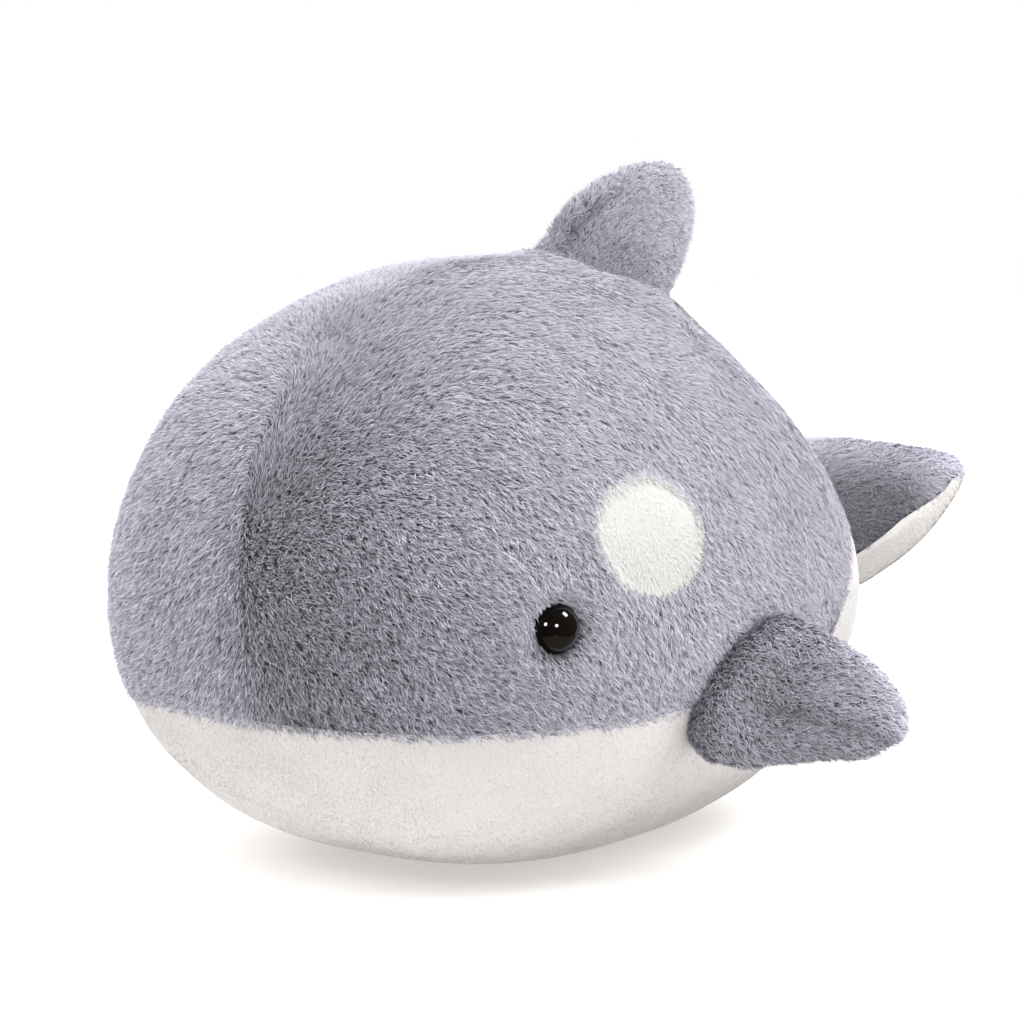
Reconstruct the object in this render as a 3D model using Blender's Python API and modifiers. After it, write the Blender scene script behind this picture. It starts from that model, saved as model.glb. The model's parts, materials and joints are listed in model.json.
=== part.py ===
"""A plush whale: a round stuffed body, two flippers, a dorsal fin and a raised tail.

Metres, +Z up. The face looks toward -Y, the tail toward +Y, the whale's left side is +X.
The origin is on the surface that the belly rests on, under the middle of the body.
The covers are plush cloth: a woven backing with its pile, as thick as the pile stands.
"""
import math

import bmesh
import bpy
from mathutils import Matrix, Vector

# Body: the widest level, and how far the form reaches from it each way
BODY_HALF_WIDTH = 0.120
BODY_NOSE_REACH = 0.148
BODY_TAIL_REACH = 0.166
BODY_WAIST_HEIGHT = 0.096
BODY_CROWN_RISE = 0.1356
BODY_BELLY_DROP = 0.109
BASE_ROUNDING = 0.008
BASE_FLAT_DEPTH = 0.0005

# Body: powers of its rounded-off outlines, and how they and the widths change toward the tail
PLAN_POWER = 2.6
PLAN_POWER_DRIFT = -0.3
SECTION_POWER = 1.95
SECTION_POWER_DRIFT = -0.12
CROWN_LEAN_SHARE = -0.076
TAIL_SWELL_SHARE = 0.10
TAIL_CROWN_FALL_SHARE = 0.028
TAIL_BELLY_SWELL_SHARE = 0.081

# Cover cloth and fits
PILE_DEPTH = 0.004
CLOTH_THICKNESS = 0.0015
FIT_GAP = 0.0003
CUT_OVERRUN = 0.004

# The seam between the grey back and the white belly: it climbs the flank, then falls to the tail's sides
SEAM_FRONT_HEIGHT = 0.0655
SEAM_CREST_HEIGHT = 0.117
SEAM_TAIL_HEIGHT = 0.096
SEAM_CLIMB_START = 0.052
SEAM_CREST_REACH = 0.114
SEAM_FALL_END = 0.150

# White patch behind the eye
PATCH_AZIMUTH = math.radians(-18.6)
PATCH_ELEVATION = math.radians(16.3)
PATCH_HALF_LENGTH = 0.0275
PATCH_HALF_HEIGHT = 0.0215
PATCH_TILT = math.radians(-7.0)

# Safety eye: a dome on a ribbed stem, and the washer that locks it inside the cover
EYE_AZIMUTH = math.radians(-36.4)
EYE_ELEVATION = math.radians(3.3)
EYE_RADIUS = 0.009
EYE_DOME_HEIGHT = 0.0060
EYE_FLANGE_THICKNESS = 0.0008
STEM_RADIUS = 0.0024
STEM_RIB_HEIGHT = 0.0004
STEM_LENGTH = 0.012
STEM_RIB_COUNT = 4
WASHER_RADIUS = 0.0085
WASHER_THICKNESS = 0.0012
WASHER_HUB_RADIUS = 0.0045
WASHER_HUB_HEIGHT = 0.0014

# Flippers
FLIPPER_AZIMUTH = math.radians(-1.5)
FLIPPER_ELEVATION = math.radians(-12.0)
FLIPPER_ROOT_HALF = 0.034
FLIPPER_HALF_THICKNESS = 0.0145
FLIPPER_STAND_OFF = 0.0078
FLIPPER_SPAN = 0.0575
FLIPPER_CHORD_AZIMUTH = math.radians(74.0)
FLIPPER_CHORD_RISE = math.radians(46.0)
FLIPPER_SPAN_AZIMUTH = math.radians(13.6)
FLIPPER_SPAN_RISE = math.radians(-25.5)

# Dorsal fin
FIN_AZIMUTH = math.radians(90.0)
FIN_ELEVATION = math.radians(60.0)
FIN_ROOT_HALF = 0.044
FIN_HALF_THICKNESS = 0.0135
FIN_STAND_OFF = -0.0020
FIN_SPAN = 0.078
FIN_SWING = math.radians(16.0)

# Tail: a short stock that spreads into two flukes
TAIL_AZIMUTH = math.radians(90.0)
TAIL_ELEVATION = math.radians(-1.5)
TAIL_ROOT_HALF = 0.030
TAIL_HALF_THICKNESS = 0.0220
TAIL_STAND_OFF = 0.0140
TAIL_SPAN = 0.066
TAIL_HALF_SPREAD = 0.093
TAIL_RISE = math.radians(42.0)
TAIL_SEAM_LIFT = 0.0030

# Outlines outside each root, as shares: along the root (of its half or of the spread), and out (of the span)
FLIPPER_OUTLINE_SHARES = (
    (1.00, 0.00), (1.05, 0.18), (1.05, 0.38), (0.99, 0.58), (0.88, 0.75), (0.74, 0.89), (0.55, 0.98),
    (0.32, 0.99), (0.03, 0.88), (-0.28, 0.65), (-0.60, 0.40), (-0.86, 0.20), (-1.00, 0.00),
)
FIN_OUTLINE_SHARES = (
    (1.00, 0.00), (0.98, 0.18), (1.04, 0.41), (1.10, 0.64), (1.05, 0.85), (0.86, 0.97), (0.61, 1.00),
    (0.30, 0.95), (-0.02, 0.85), (-0.28, 0.73), (-0.53, 0.60), (-0.76, 0.44), (-0.94, 0.24), (-1.00, 0.00),
)
TAIL_OUTLINE_SHARES = (
    (0.32, 0.00), (0.44, 0.03), (0.60, 0.05), (0.74, 0.11), (0.85, 0.25), (0.92, 0.50), (0.95, 0.80),
    (0.93, 0.96), (0.84, 1.07), (0.65, 1.12), (0.42, 1.16), (0.20, 1.17), (0.00, 1.15),
)

# Facets
BODY_SEGMENTS = 36
BODY_RINGS = 18
LIMB_SEGMENTS = 24
LIMB_RINGS = 8
SOCKET_SEGMENTS = 16
ROUND_SEGMENTS = 16
SEAM_POINTS = 14
DOME_STEPS = 5
CREASE_ANGLE = math.radians(40.0)
WELD_DISTANCE = 0.00001
SURFACE_STEP = math.radians(0.5)

# Materials: name, linear colour, roughness
MATERIALS = (
    ("grey", (0.285, 0.282, 0.345, 1.0), 0.95),
    ("white", (0.80, 0.77, 0.73, 1.0), 0.95),
    ("filling", (0.86, 0.86, 0.84, 1.0), 1.0),
    ("black", (0.006, 0.005, 0.005, 1.0), 0.08),
    ("washer", (0.70, 0.70, 0.68, 1.0), 0.45),
)

COVER_THICKNESS = PILE_DEPTH + CLOTH_THICKNESS
STUFFING_INSET = COVER_THICKNESS + FIT_GAP
PAST_SIDES = BODY_HALF_WIDTH * (1 + TAIL_SWELL_SHARE) + CUT_OVERRUN
SIDES = (("left", 1), ("right", -1))


def clear_scene():
    for obj in list(bpy.data.objects):
        bpy.data.objects.remove(obj, do_unlink=True)


def new_collection(name):
    collection = bpy.data.collections.new(name)
    bpy.context.scene.collection.children.link(collection)
    return collection


def new_material(name, colour, roughness):
    material = bpy.data.materials.new(name)
    material.use_nodes = True
    shader = material.node_tree.nodes["Principled BSDF"]
    shader.inputs["Base Color"].default_value = colour
    shader.inputs["Roughness"].default_value = roughness
    shader.inputs["Metallic"].default_value = 0.0
    return material


def add_object(name, mesh, frame, collection, material=None):
    obj = bpy.data.objects.new(name, mesh)
    obj.matrix_world = frame
    collection.objects.link(obj)
    if material:
        mesh.materials.append(material)
        mesh.shade_smooth()
        mesh.set_sharp_from_angle(angle=CREASE_ANGLE)
    else:
        obj.hide_render = True
        obj.display_type = "WIRE"
    return obj


def mesh_from(bm, name):
    bmesh.ops.recalc_face_normals(bm, faces=bm.faces)
    mesh = bpy.data.meshes.new(name)
    bm.to_mesh(mesh)
    bm.free()
    return mesh


def cut(obj, cutter, operation="DIFFERENCE"):
    modifier = obj.modifiers.new(operation.lower() + "_" + cutter.name, "BOOLEAN")
    modifier.operation = operation
    modifier.solver = "EXACT"
    modifier.object = cutter


def close_below(bm, height):
    """Cut away what lies under the height and close the cut with a flat face."""
    geometry = bm.verts[:] + bm.edges[:] + bm.faces[:]
    bmesh.ops.bisect_plane(bm, geom=geometry, plane_co=(0, 0, height), plane_no=(0, 0, 1), clear_inner=True)
    rim = [edge for edge in bm.edges if edge.is_boundary]
    bmesh.ops.edgenet_fill(bm, edges=rim)


def direction_of(azimuth, elevation):
    level = math.cos(elevation)
    return Vector((level * math.cos(azimuth), level * math.sin(azimuth), math.sin(elevation)))


def soften(height):
    """Ease a height toward zero, so that the underside rounds into the surface it rests on."""
    return 0.5 * (height + math.sqrt(height * height + BASE_ROUNDING * BASE_ROUNDING))


def body_point(direction, inset=0.0):
    """The body's surface in a direction: a rounded block, blunt at the face and fuller toward the tail."""
    plan_power = PLAN_POWER + PLAN_POWER_DRIFT * direction.y
    section_power = SECTION_POWER + SECTION_POWER_DRIFT * direction.y
    plan = (abs(direction.x) ** plan_power + abs(direction.y) ** plan_power) ** (section_power / plan_power)
    unit = direction * (plan + abs(direction.z) ** section_power) ** (-1 / section_power)
    behind = max(unit.y, 0) ** 2
    reach = BODY_NOSE_REACH if unit.y < 0 else BODY_TAIL_REACH
    if unit.z > 0:
        rise = (BODY_CROWN_RISE - inset) * unit.z * (1 - TAIL_CROWN_FALL_SHARE * behind)
    else:
        rise = (BODY_BELLY_DROP - inset) * unit.z * (1 + TAIL_BELLY_SWELL_SHARE * behind)
    x = (BODY_HALF_WIDTH - inset) * unit.x * (1 + TAIL_SWELL_SHARE * behind)
    y = (reach - inset) * unit.y + CROWN_LEAN_SHARE * rise
    lowest = soften(BODY_WAIST_HEIGHT - BODY_BELLY_DROP) + BASE_FLAT_DEPTH
    z = inset + soften(BODY_WAIST_HEIGHT + rise - inset) - lowest
    return Vector((x, y, z))


def body_normal(azimuth, elevation):
    east, west, above, below = [
        body_point(direction_of(azimuth + a * SURFACE_STEP, elevation + e * SURFACE_STEP))
        for a, e in ((1, 0), (-1, 0), (0, 1), (0, -1))
    ]
    return (east - west).cross(above - below).normalized()


def body_mesh(name, inset):
    bm = bmesh.new()
    bmesh.ops.create_uvsphere(bm, u_segments=BODY_SEGMENTS, v_segments=BODY_RINGS, radius=1.0)
    for vertex in bm.verts:
        vertex.co = body_point(vertex.co.normalized(), inset)
    close_below(bm, 0)
    return mesh_from(bm, name)


def frame_at(origin, along, out):
    """Axes of a piece: X along its root, Y outward along its span, Z across its thickness."""
    x_axis = along.normalized()
    z_axis = x_axis.cross(out).normalized()
    y_axis = z_axis.cross(x_axis)
    return Matrix.Translation(origin) @ Matrix((x_axis, y_axis, z_axis)).transposed().to_4x4()


def mirrored(vector, side):
    return Vector((side * vector.x, vector.y, vector.z))


def rounded_curve(points, share):
    """A smooth curve through the points, read at a share of its whole run."""
    spans = len(points) - 1
    position = share * spans
    index = min(int(position), spans - 1)
    t = position - index
    p1, p2 = points[index], points[index + 1]
    p0 = points[index - 1] if index else p1 * 2 - p2
    p3 = points[index + 2] if index + 2 < len(points) else p2 * 2 - p1
    bend = (p0 * 2 - p1 * 5 + p2 * 4 - p3) * t * t + (p1 * 3 - p0 - p2 * 3 + p3) * t * t * t
    return (p1 * 2 + (p2 - p0) * t + bend) / 2


def limb_rim(outline, root_half, root_depth, turn):
    """The rim of a limb at a turn from 0 to 1: its outline outside, then the round root inside."""
    if turn < 0.5:
        return rounded_curve(outline, turn * 2)
    angle = turn * 2 * math.pi
    return Vector((root_half * math.cos(angle), root_depth * math.sin(angle)))


def limb_form(outline, root_half, half_thickness, inset=0.0):
    """A stuffed limb as a pillow: round about its root's axis inside, thinning to its rim outside."""
    bm = bmesh.new()
    bmesh.ops.create_uvsphere(bm, u_segments=LIMB_SEGMENTS, v_segments=LIMB_RINGS, radius=1.0)
    for vertex in bm.verts:
        spread = math.hypot(vertex.co.x, vertex.co.y)
        turn = math.atan2(vertex.co.y, vertex.co.x) / (2 * math.pi) % 1.0
        rim = limb_rim(outline, root_half, half_thickness, turn)
        rim = rim * (1 - inset / rim.length)
        vertex.co = Vector((rim.x * spread, rim.y * spread, (half_thickness - inset) * vertex.co.z))
    return bm


def limb_half(outline, root_half, half_thickness, split, upper, name):
    """The limb on one side of its seam, as a solid."""
    bm = limb_form(outline, root_half, half_thickness)
    if not upper:
        bmesh.ops.rotate(bm, verts=bm.verts, matrix=Matrix.Diagonal((1, 1, -1)))
        bmesh.ops.reverse_faces(bm, faces=bm.faces)
        split = -split
    close_below(bm, split + FIT_GAP / 2)
    if not upper:
        bmesh.ops.rotate(bm, verts=bm.verts, matrix=Matrix.Diagonal((1, 1, -1)))
        bmesh.ops.reverse_faces(bm, faces=bm.faces)
    return mesh_from(bm, name)


def limb_pieces(name, frame, outline, root_half, half_thickness, split, skins, model, cutters, filling):
    """Two cover panels sewn round the rim, each hollowed by the stuffing's space, and the stuffing."""
    core = mesh_from(limb_form(outline, root_half, half_thickness, COVER_THICKNESS), name + "_core")
    core = add_object(name + "_core", core, frame, cutters)
    for panel, upper, skin in skins:
        half = limb_half(outline, root_half, half_thickness, split, upper, name + "_" + panel)
        cut(add_object(name + "_" + panel, half, frame, model, skin), core)
    stuffing = mesh_from(limb_form(outline, root_half, half_thickness, STUFFING_INSET), name + "_stuffing")
    add_object(name + "_stuffing", stuffing, frame, model, filling)


def limb_socket(name, frame, root_half, half_thickness, cutters):
    """The seat that a limb's round root turns in, a gap wider than the root."""
    bm = bmesh.new()
    bmesh.ops.create_uvsphere(bm, u_segments=SOCKET_SEGMENTS, v_segments=SOCKET_SEGMENTS // 2, radius=1.0)
    swell = 1 / math.cos(math.pi / SOCKET_SEGMENTS) ** 2
    size = Vector((half_thickness + FIT_GAP, half_thickness + FIT_GAP, root_half + FIT_GAP)) * swell
    turn = Matrix.Rotation(math.radians(90.0), 3, "Y")
    for vertex in bm.verts:
        vertex.co = turn @ Vector(a * b for a, b in zip(vertex.co, size))
    return add_object(name + "_socket", mesh_from(bm, name + "_socket"), frame, cutters)


def turned(name, profile, frame, collection, material):
    """A round piece about its frame's Z axis, from a profile that runs down its outer side."""
    mesh = bpy.data.meshes.new(name)
    edges = [(i, i + 1) for i in range(len(profile) - 1)]
    if profile[-1][0] > 0:
        edges.append((len(profile) - 1, 0))
    mesh.from_pydata([(x, 0, z) for x, z in profile], edges, [])
    obj = add_object(name, mesh, frame, collection, material)
    screw = obj.modifiers.new("turn", "SCREW")
    screw.axis = "Z"
    screw.steps = ROUND_SEGMENTS
    screw.render_steps = ROUND_SEGMENTS
    screw.use_merge_vertices = True
    screw.merge_threshold = WELD_DISTANCE
    screw.use_smooth_shade = True
    return obj


def cylinder_cutter(name, frame, radius_x, radius_y, low, high, segments, cutters):
    """An elliptical cylinder along the frame's Z axis, from the low to the high level."""
    bm = bmesh.new()
    bmesh.ops.create_cone(bm, cap_ends=True, segments=segments, radius1=1.0, radius2=1.0, depth=1.0)
    for vertex in bm.verts:
        height = high if vertex.co.z > 0 else low
        vertex.co = Vector((radius_x * vertex.co.x, radius_y * vertex.co.y, height))
    return add_object(name, mesh_from(bm, name), frame, cutters)


def eased(share):
    t = min(max(share, 0), 1)
    return t * t * (3 - 2 * t)


def seam_height(y):
    climb = eased((y - SEAM_CLIMB_START) / (SEAM_CREST_REACH - SEAM_CLIMB_START))
    fall = eased((y - SEAM_CREST_REACH) / (SEAM_FALL_END - SEAM_CREST_REACH))
    height = SEAM_FRONT_HEIGHT + (SEAM_CREST_HEIGHT - SEAM_FRONT_HEIGHT) * climb
    return height - (SEAM_CREST_HEIGHT - SEAM_TAIL_HEIGHT) * fall


def above_seam(name, lower_x, drop, cutters):
    """The space above the belly seam, from lower_x to past the left side, lowered by the drop."""
    front = -BODY_NOSE_REACH - CUT_OVERRUN * 2
    rear = BODY_TAIL_REACH + CUT_OVERRUN * 2
    ceiling = BODY_WAIST_HEIGHT + BODY_CROWN_RISE + CUT_OVERRUN
    run = SEAM_FALL_END - SEAM_CLIMB_START
    stations = [front] + [SEAM_CLIMB_START + run * i / SEAM_POINTS for i in range(SEAM_POINTS + 1)] + [rear]
    outline = [(y, seam_height(y) - drop) for y in stations] + [(rear, ceiling), (front, ceiling)]
    curve = bpy.data.curves.new(name, "CURVE")
    curve.dimensions = "2D"
    curve.fill_mode = "BOTH"
    curve.extrude = (PAST_SIDES - lower_x) / 2
    spline = curve.splines.new("POLY")
    spline.points.add(len(outline) - 1)
    for point, (y, z) in zip(spline.points, outline):
        point.co = (y, z, 0, 1)
    spline.use_cyclic_u = True
    flat = bpy.data.objects.new(name + "_curve", curve)
    cutters.objects.link(flat)
    bpy.context.view_layer.update()
    mesh = bpy.data.meshes.new_from_object(flat.evaluated_get(bpy.context.evaluated_depsgraph_get()))
    bpy.data.objects.remove(flat, do_unlink=True)
    bm = bmesh.new()
    bm.from_mesh(mesh)
    bmesh.ops.remove_doubles(bm, verts=bm.verts, dist=WELD_DISTANCE)
    stand = Matrix(((0, 0, 1), (1, 0, 0), (0, 1, 0))).to_4x4()
    stand.translation = ((PAST_SIDES + lower_x) / 2, 0, 0)
    bm.transform(stand)
    return add_object(name, mesh_from(bm, name), Matrix.Identity(4), cutters)


def surface_frame(azimuth, elevation, side, tilt=0.0):
    """On the body's surface: Z out of it, X toward the tail, turned by the tilt."""
    point = mirrored(body_point(direction_of(azimuth, elevation)), side)
    normal = mirrored(body_normal(azimuth, elevation), side)
    tailward = Vector((0, 1, 0)) - normal * normal.y
    tailward.rotate(Matrix.Rotation(tilt * side, 3, normal))
    x_axis = tailward.normalized()
    return Matrix.Translation(point) @ Matrix((x_axis, normal.cross(x_axis), normal)).transposed().to_4x4()


def eye_profile():
    """Dome, flange and ribbed stem, from the top of the dome down; zero is the flange's underside."""
    rim = EYE_FLANGE_THICKNESS
    angles = [math.pi / 2 * i / DOME_STEPS for i in range(DOME_STEPS + 1)]
    profile = [(EYE_RADIUS * math.sin(a), rim + EYE_DOME_HEIGHT * math.cos(a)) for a in angles]
    profile[0] = (0, rim + EYE_DOME_HEIGHT)
    profile += [(EYE_RADIUS, 0), (STEM_RADIUS, 0)]
    plain = CLOTH_THICKNESS + WASHER_THICKNESS + WASHER_HUB_HEIGHT
    pitch = (STEM_LENGTH - plain) / (STEM_RIB_COUNT + 1)
    for rib in range(STEM_RIB_COUNT):
        top = -plain - pitch * rib
        profile += [(STEM_RADIUS, top), (STEM_RADIUS + STEM_RIB_HEIGHT, top - pitch / 2)]
    profile += [(STEM_RADIUS, -STEM_LENGTH + pitch / 2), (STEM_RADIUS / 2, -STEM_LENGTH), (0, -STEM_LENGTH)]
    return profile


def washer_profile():
    """A disc with a hub on its inner side; zero is the face against the cloth."""
    bore = STEM_RADIUS + STEM_RIB_HEIGHT + FIT_GAP
    deep = WASHER_THICKNESS + WASHER_HUB_HEIGHT
    return [(bore, 0), (WASHER_RADIUS, 0), (WASHER_RADIUS, -WASHER_THICKNESS),
            (WASHER_HUB_RADIUS, -WASHER_THICKNESS), (WASHER_HUB_RADIUS, -deep), (bore, -deep)]


def shifted(frame, height):
    return frame @ Matrix.Translation((0, 0, height))


def build_eye(side_name, side, model, cutters, skins):
    """The eye on its seat in the pile and its washer inside; the holes in the pile, cloth and stuffing."""
    frame = surface_frame(EYE_AZIMUTH, EYE_ELEVATION, side)
    seat = -PILE_DEPTH
    inner = seat - CLOTH_THICKNESS
    deepest = inner - WASHER_THICKNESS - WASHER_HUB_HEIGHT - FIT_GAP * 2
    turned("eye_" + side_name, eye_profile(), shifted(frame, seat + FIT_GAP), model, skins["black"])
    washer_seat = shifted(frame, inner - FIT_GAP)
    turned("eye_washer_" + side_name, washer_profile(), washer_seat, model, skins["washer"])
    dome_hole = EYE_RADIUS + FIT_GAP
    stem_hole = STEM_RADIUS + STEM_RIB_HEIGHT + FIT_GAP
    pocket = WASHER_RADIUS + FIT_GAP
    holes = (
        ("pile_hole", dome_hole, seat, EYE_DOME_HEIGHT + CUT_OVERRUN, ROUND_SEGMENTS * 2),
        ("stem_hole", stem_hole, seat - STEM_LENGTH - FIT_GAP, seat + FIT_GAP, ROUND_SEGMENTS),
        ("washer_pocket", pocket, deepest, inner, ROUND_SEGMENTS),
    )
    prefix = "eye_" + side_name + "_"
    return [cylinder_cutter(prefix + name, frame, radius, radius, low, high, segments, cutters)
            for name, radius, low, high, segments in holes]


def scaled_outline(shares, along, out):
    return [Vector((a * along, s * out)) for a, s in shares]


def build_flipper(side_name, side, model, cutters, skins):
    """One flipper, and the socket it flaps in."""
    root = body_point(direction_of(FLIPPER_AZIMUTH, FLIPPER_ELEVATION))
    root += body_normal(FLIPPER_AZIMUTH, FLIPPER_ELEVATION) * FLIPPER_STAND_OFF
    chord = mirrored(direction_of(FLIPPER_CHORD_AZIMUTH, FLIPPER_CHORD_RISE), side)
    out = mirrored(direction_of(FLIPPER_SPAN_AZIMUTH, FLIPPER_SPAN_RISE), side)
    frame = frame_at(mirrored(root, side), chord, out)
    outline = scaled_outline(FLIPPER_OUTLINE_SHARES, FLIPPER_ROOT_HALF, FLIPPER_SPAN)
    name = "flipper_" + side_name
    panels = (("front_panel", side < 0, skins["grey"]), ("back_panel", side > 0, skins["grey"]))
    limb_pieces(name, frame, outline, FLIPPER_ROOT_HALF, FLIPPER_HALF_THICKNESS, 0, panels,
                model, cutters, skins["filling"])
    return limb_socket(name, frame, FLIPPER_ROOT_HALF, FLIPPER_HALF_THICKNESS, cutters)


def build_fin(model, cutters, skins):
    """The dorsal fin; its socket, and the room beside its root for each way that it tilts."""
    root = body_point(direction_of(FIN_AZIMUTH, FIN_ELEVATION))
    normal = body_normal(FIN_AZIMUTH, FIN_ELEVATION)
    frame = frame_at(root + normal * FIN_STAND_OFF, normal.cross(Vector((1, 0, 0))), normal)
    outline = scaled_outline(FIN_OUTLINE_SHARES, FIN_ROOT_HALF, FIN_SPAN)
    panels = (("panel_left", True, skins["grey"]), ("panel_right", False, skins["grey"]))
    limb_pieces("dorsal_fin", frame, outline, FIN_ROOT_HALF, FIN_HALF_THICKNESS, 0, panels,
                model, cutters, skins["filling"])
    mouths = {}
    for side_name, side in SIDES:
        mouth_name = "dorsal_fin_mouth_" + side_name
        mouth = mesh_from(limb_form(outline, FIN_ROOT_HALF, FIN_HALF_THICKNESS, -FIT_GAP), mouth_name)
        tilted = frame @ Matrix.Rotation(FIN_SWING * side, 4, "X")
        mouths[side] = add_object(mouth_name, mouth, tilted, cutters)
    return limb_socket("dorsal_fin", frame, FIN_ROOT_HALF, FIN_HALF_THICKNESS, cutters), mouths


def build_tail(model, cutters, skins):
    """The tail, and the socket it bends in."""
    root = body_point(direction_of(TAIL_AZIMUTH, TAIL_ELEVATION))
    root += body_normal(TAIL_AZIMUTH, TAIL_ELEVATION) * TAIL_STAND_OFF
    frame = frame_at(root, Vector((1, 0, 0)), direction_of(TAIL_AZIMUTH, TAIL_RISE))
    half = scaled_outline(TAIL_OUTLINE_SHARES, TAIL_HALF_SPREAD, TAIL_SPAN)
    half[0] = Vector((TAIL_ROOT_HALF, 0))
    outline = half + [Vector((-p.x, p.y)) for p in half[-2::-1]]
    panels = (("top_panel", True, skins["grey"]), ("bottom_panel", False, skins["white"]))
    limb_pieces("tail", frame, outline, TAIL_ROOT_HALF, TAIL_HALF_THICKNESS, TAIL_SEAM_LIFT, panels,
                model, cutters, skins["filling"])
    return limb_socket("tail", frame, TAIL_ROOT_HALF, TAIL_HALF_THICKNESS, cutters)


def build_patch(side_name, side, inside, model, cutters, skins):
    """The white patch, cut from the body's own form, and the hole that it is sewn into."""
    frame = surface_frame(PATCH_AZIMUTH, PATCH_ELEVATION, side, PATCH_TILT)
    reach = COVER_THICKNESS * 2
    edge = cylinder_cutter("patch_edge_" + side_name, frame, PATCH_HALF_LENGTH, PATCH_HALF_HEIGHT,
                           -reach, reach, BODY_SEGMENTS, cutters)
    name = "eye_patch_" + side_name
    patch = add_object(name, body_mesh(name, 0), Matrix.Identity(4), model, skins["white"])
    cut(patch, edge, "INTERSECT")
    cut(patch, inside)
    return cylinder_cutter("patch_hole_" + side_name, frame, PATCH_HALF_LENGTH + FIT_GAP,
                           PATCH_HALF_HEIGHT + FIT_GAP, -reach, reach, BODY_SEGMENTS, cutters)


def build_body(sockets, fin_mouths, model, cutters, skins):
    """The body's cover is its outer form less the stuffing's space, divided along its seams."""
    world = Matrix.Identity(4)
    inside = add_object("cover_inside", body_mesh("cover_inside", COVER_THICKNESS), world, cutters)
    above_seams = {"left": above_seam("above_seam_left", FIT_GAP / 2, 0, cutters)}
    mirrored_mesh = above_seams["left"].data.copy()
    mirrored_mesh.transform(Matrix.Diagonal((-1, 1, 1, 1)))
    mirrored_mesh.flip_normals()
    above_seams["right"] = add_object("above_seam_right", mirrored_mesh, world, cutters)
    belly = add_object("belly_panel", body_mesh("belly_panel", 0), world, model, skins["white"])
    cut(belly, above_seam("above_seam", -PAST_SIDES, FIT_GAP, cutters))
    cut(belly, inside)
    for name in ("flipper_left", "flipper_right", "tail"):
        cut(belly, sockets[name])
    stuffing = body_mesh("body_stuffing", STUFFING_INSET)
    stuffing = add_object("body_stuffing", stuffing, world, model, skins["filling"])
    for name in sockets:
        cut(stuffing, sockets[name])
    for side_name, side in SIDES:
        name = "back_panel_" + side_name
        panel = add_object(name, body_mesh(name, 0), world, model, skins["grey"])
        cut(panel, above_seams[side_name], "INTERSECT")
        cut(panel, inside)
        for socket in ("flipper_" + side_name, "dorsal_fin", "tail"):
            cut(panel, sockets[socket])
        cut(panel, fin_mouths[side])
        holes = build_eye(side_name, side, model, cutters, skins)
        for hole in holes + [build_patch(side_name, side, inside, model, cutters, skins)]:
            cut(panel, hole)
        for hole in holes[1:]:
            cut(stuffing, hole)


def main():
    clear_scene()
    model = new_collection("plush_whale")
    cutters = new_collection("cutters")
    skins = {name: new_material(name, colour, roughness) for name, colour, roughness in MATERIALS}
    sockets = {"flipper_" + name: build_flipper(name, side, model, cutters, skins) for name, side in SIDES}
    sockets["dorsal_fin"], fin_mouths = build_fin(model, cutters, skins)
    sockets["tail"] = build_tail(model, cutters, skins)
    build_body(sockets, fin_mouths, model, cutters, skins)


main()
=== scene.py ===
"""Looks of the plush whale: sewn covers, the pile grown on them, eyes, floor, light and camera."""
import json
import math

import bpy
import numpy as np
from mathutils import Matrix, Vector


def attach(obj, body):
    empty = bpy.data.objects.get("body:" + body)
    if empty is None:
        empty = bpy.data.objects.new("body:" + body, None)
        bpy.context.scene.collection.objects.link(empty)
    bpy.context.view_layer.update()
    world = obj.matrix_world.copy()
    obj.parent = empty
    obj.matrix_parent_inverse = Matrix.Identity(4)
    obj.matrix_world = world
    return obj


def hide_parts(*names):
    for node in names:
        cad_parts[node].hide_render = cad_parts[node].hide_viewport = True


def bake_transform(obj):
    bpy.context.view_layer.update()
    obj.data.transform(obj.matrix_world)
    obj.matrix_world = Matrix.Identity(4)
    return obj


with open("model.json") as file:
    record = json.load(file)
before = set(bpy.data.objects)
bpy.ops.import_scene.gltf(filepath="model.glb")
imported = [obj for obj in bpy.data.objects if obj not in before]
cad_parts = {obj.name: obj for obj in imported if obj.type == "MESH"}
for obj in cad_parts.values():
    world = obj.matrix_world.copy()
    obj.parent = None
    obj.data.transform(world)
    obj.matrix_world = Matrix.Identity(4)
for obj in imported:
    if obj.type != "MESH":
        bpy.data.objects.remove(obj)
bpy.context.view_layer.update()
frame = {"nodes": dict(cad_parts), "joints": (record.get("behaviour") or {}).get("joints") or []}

# Body form, in metres, as in the part
HALF_WIDTH = 0.120
NOSE_REACH = 0.148
TAIL_REACH = 0.166
WAIST_HEIGHT = 0.096
CROWN_RISE = 0.1356
BELLY_DROP = 0.109
BASE_ROUNDING = 0.008
BASE_FLAT_DEPTH = 0.0005
PLAN_POWER = (2.6, -0.3)
SECTION_POWER = (1.95, -0.12)
CROWN_LEAN = -0.076
TAIL_SWELL = 0.10
TAIL_CROWN_FALL = 0.028
TAIL_BELLY_SWELL = 0.081

# Belly seam: it climbs the flank and falls to the tail's sides
SEAM_FRONT = 0.0655
SEAM_CREST = 0.117
SEAM_TAIL = 0.096
SEAM_CLIMB = (0.052, 0.114)
SEAM_FALL = (0.114, 0.150)
TUCK = 0.0018  # how far the white runs up under the grey

# Where the patches and eyes sit on the body: azimuth and elevation
PATCH_AT = (math.radians(-18.6), math.radians(16.3))
PATCH_HALF = (0.0275, 0.0215)
PATCH_TILT = math.radians(-7.0)
PATCH_DEEPEST = 0.03
EYE_AT = (math.radians(-36.4), math.radians(3.3))
EYE_RADIUS = 0.009

# Depth of the pile, and of the body's cloth under its form
PILE_DEPTH = 0.004
SKIN_DEPTH = 0.0030
LEAST_DEPTH_SHARE = 0.3
POLE_GAP = 0.004
RIM_GAP = 0.01

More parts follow.
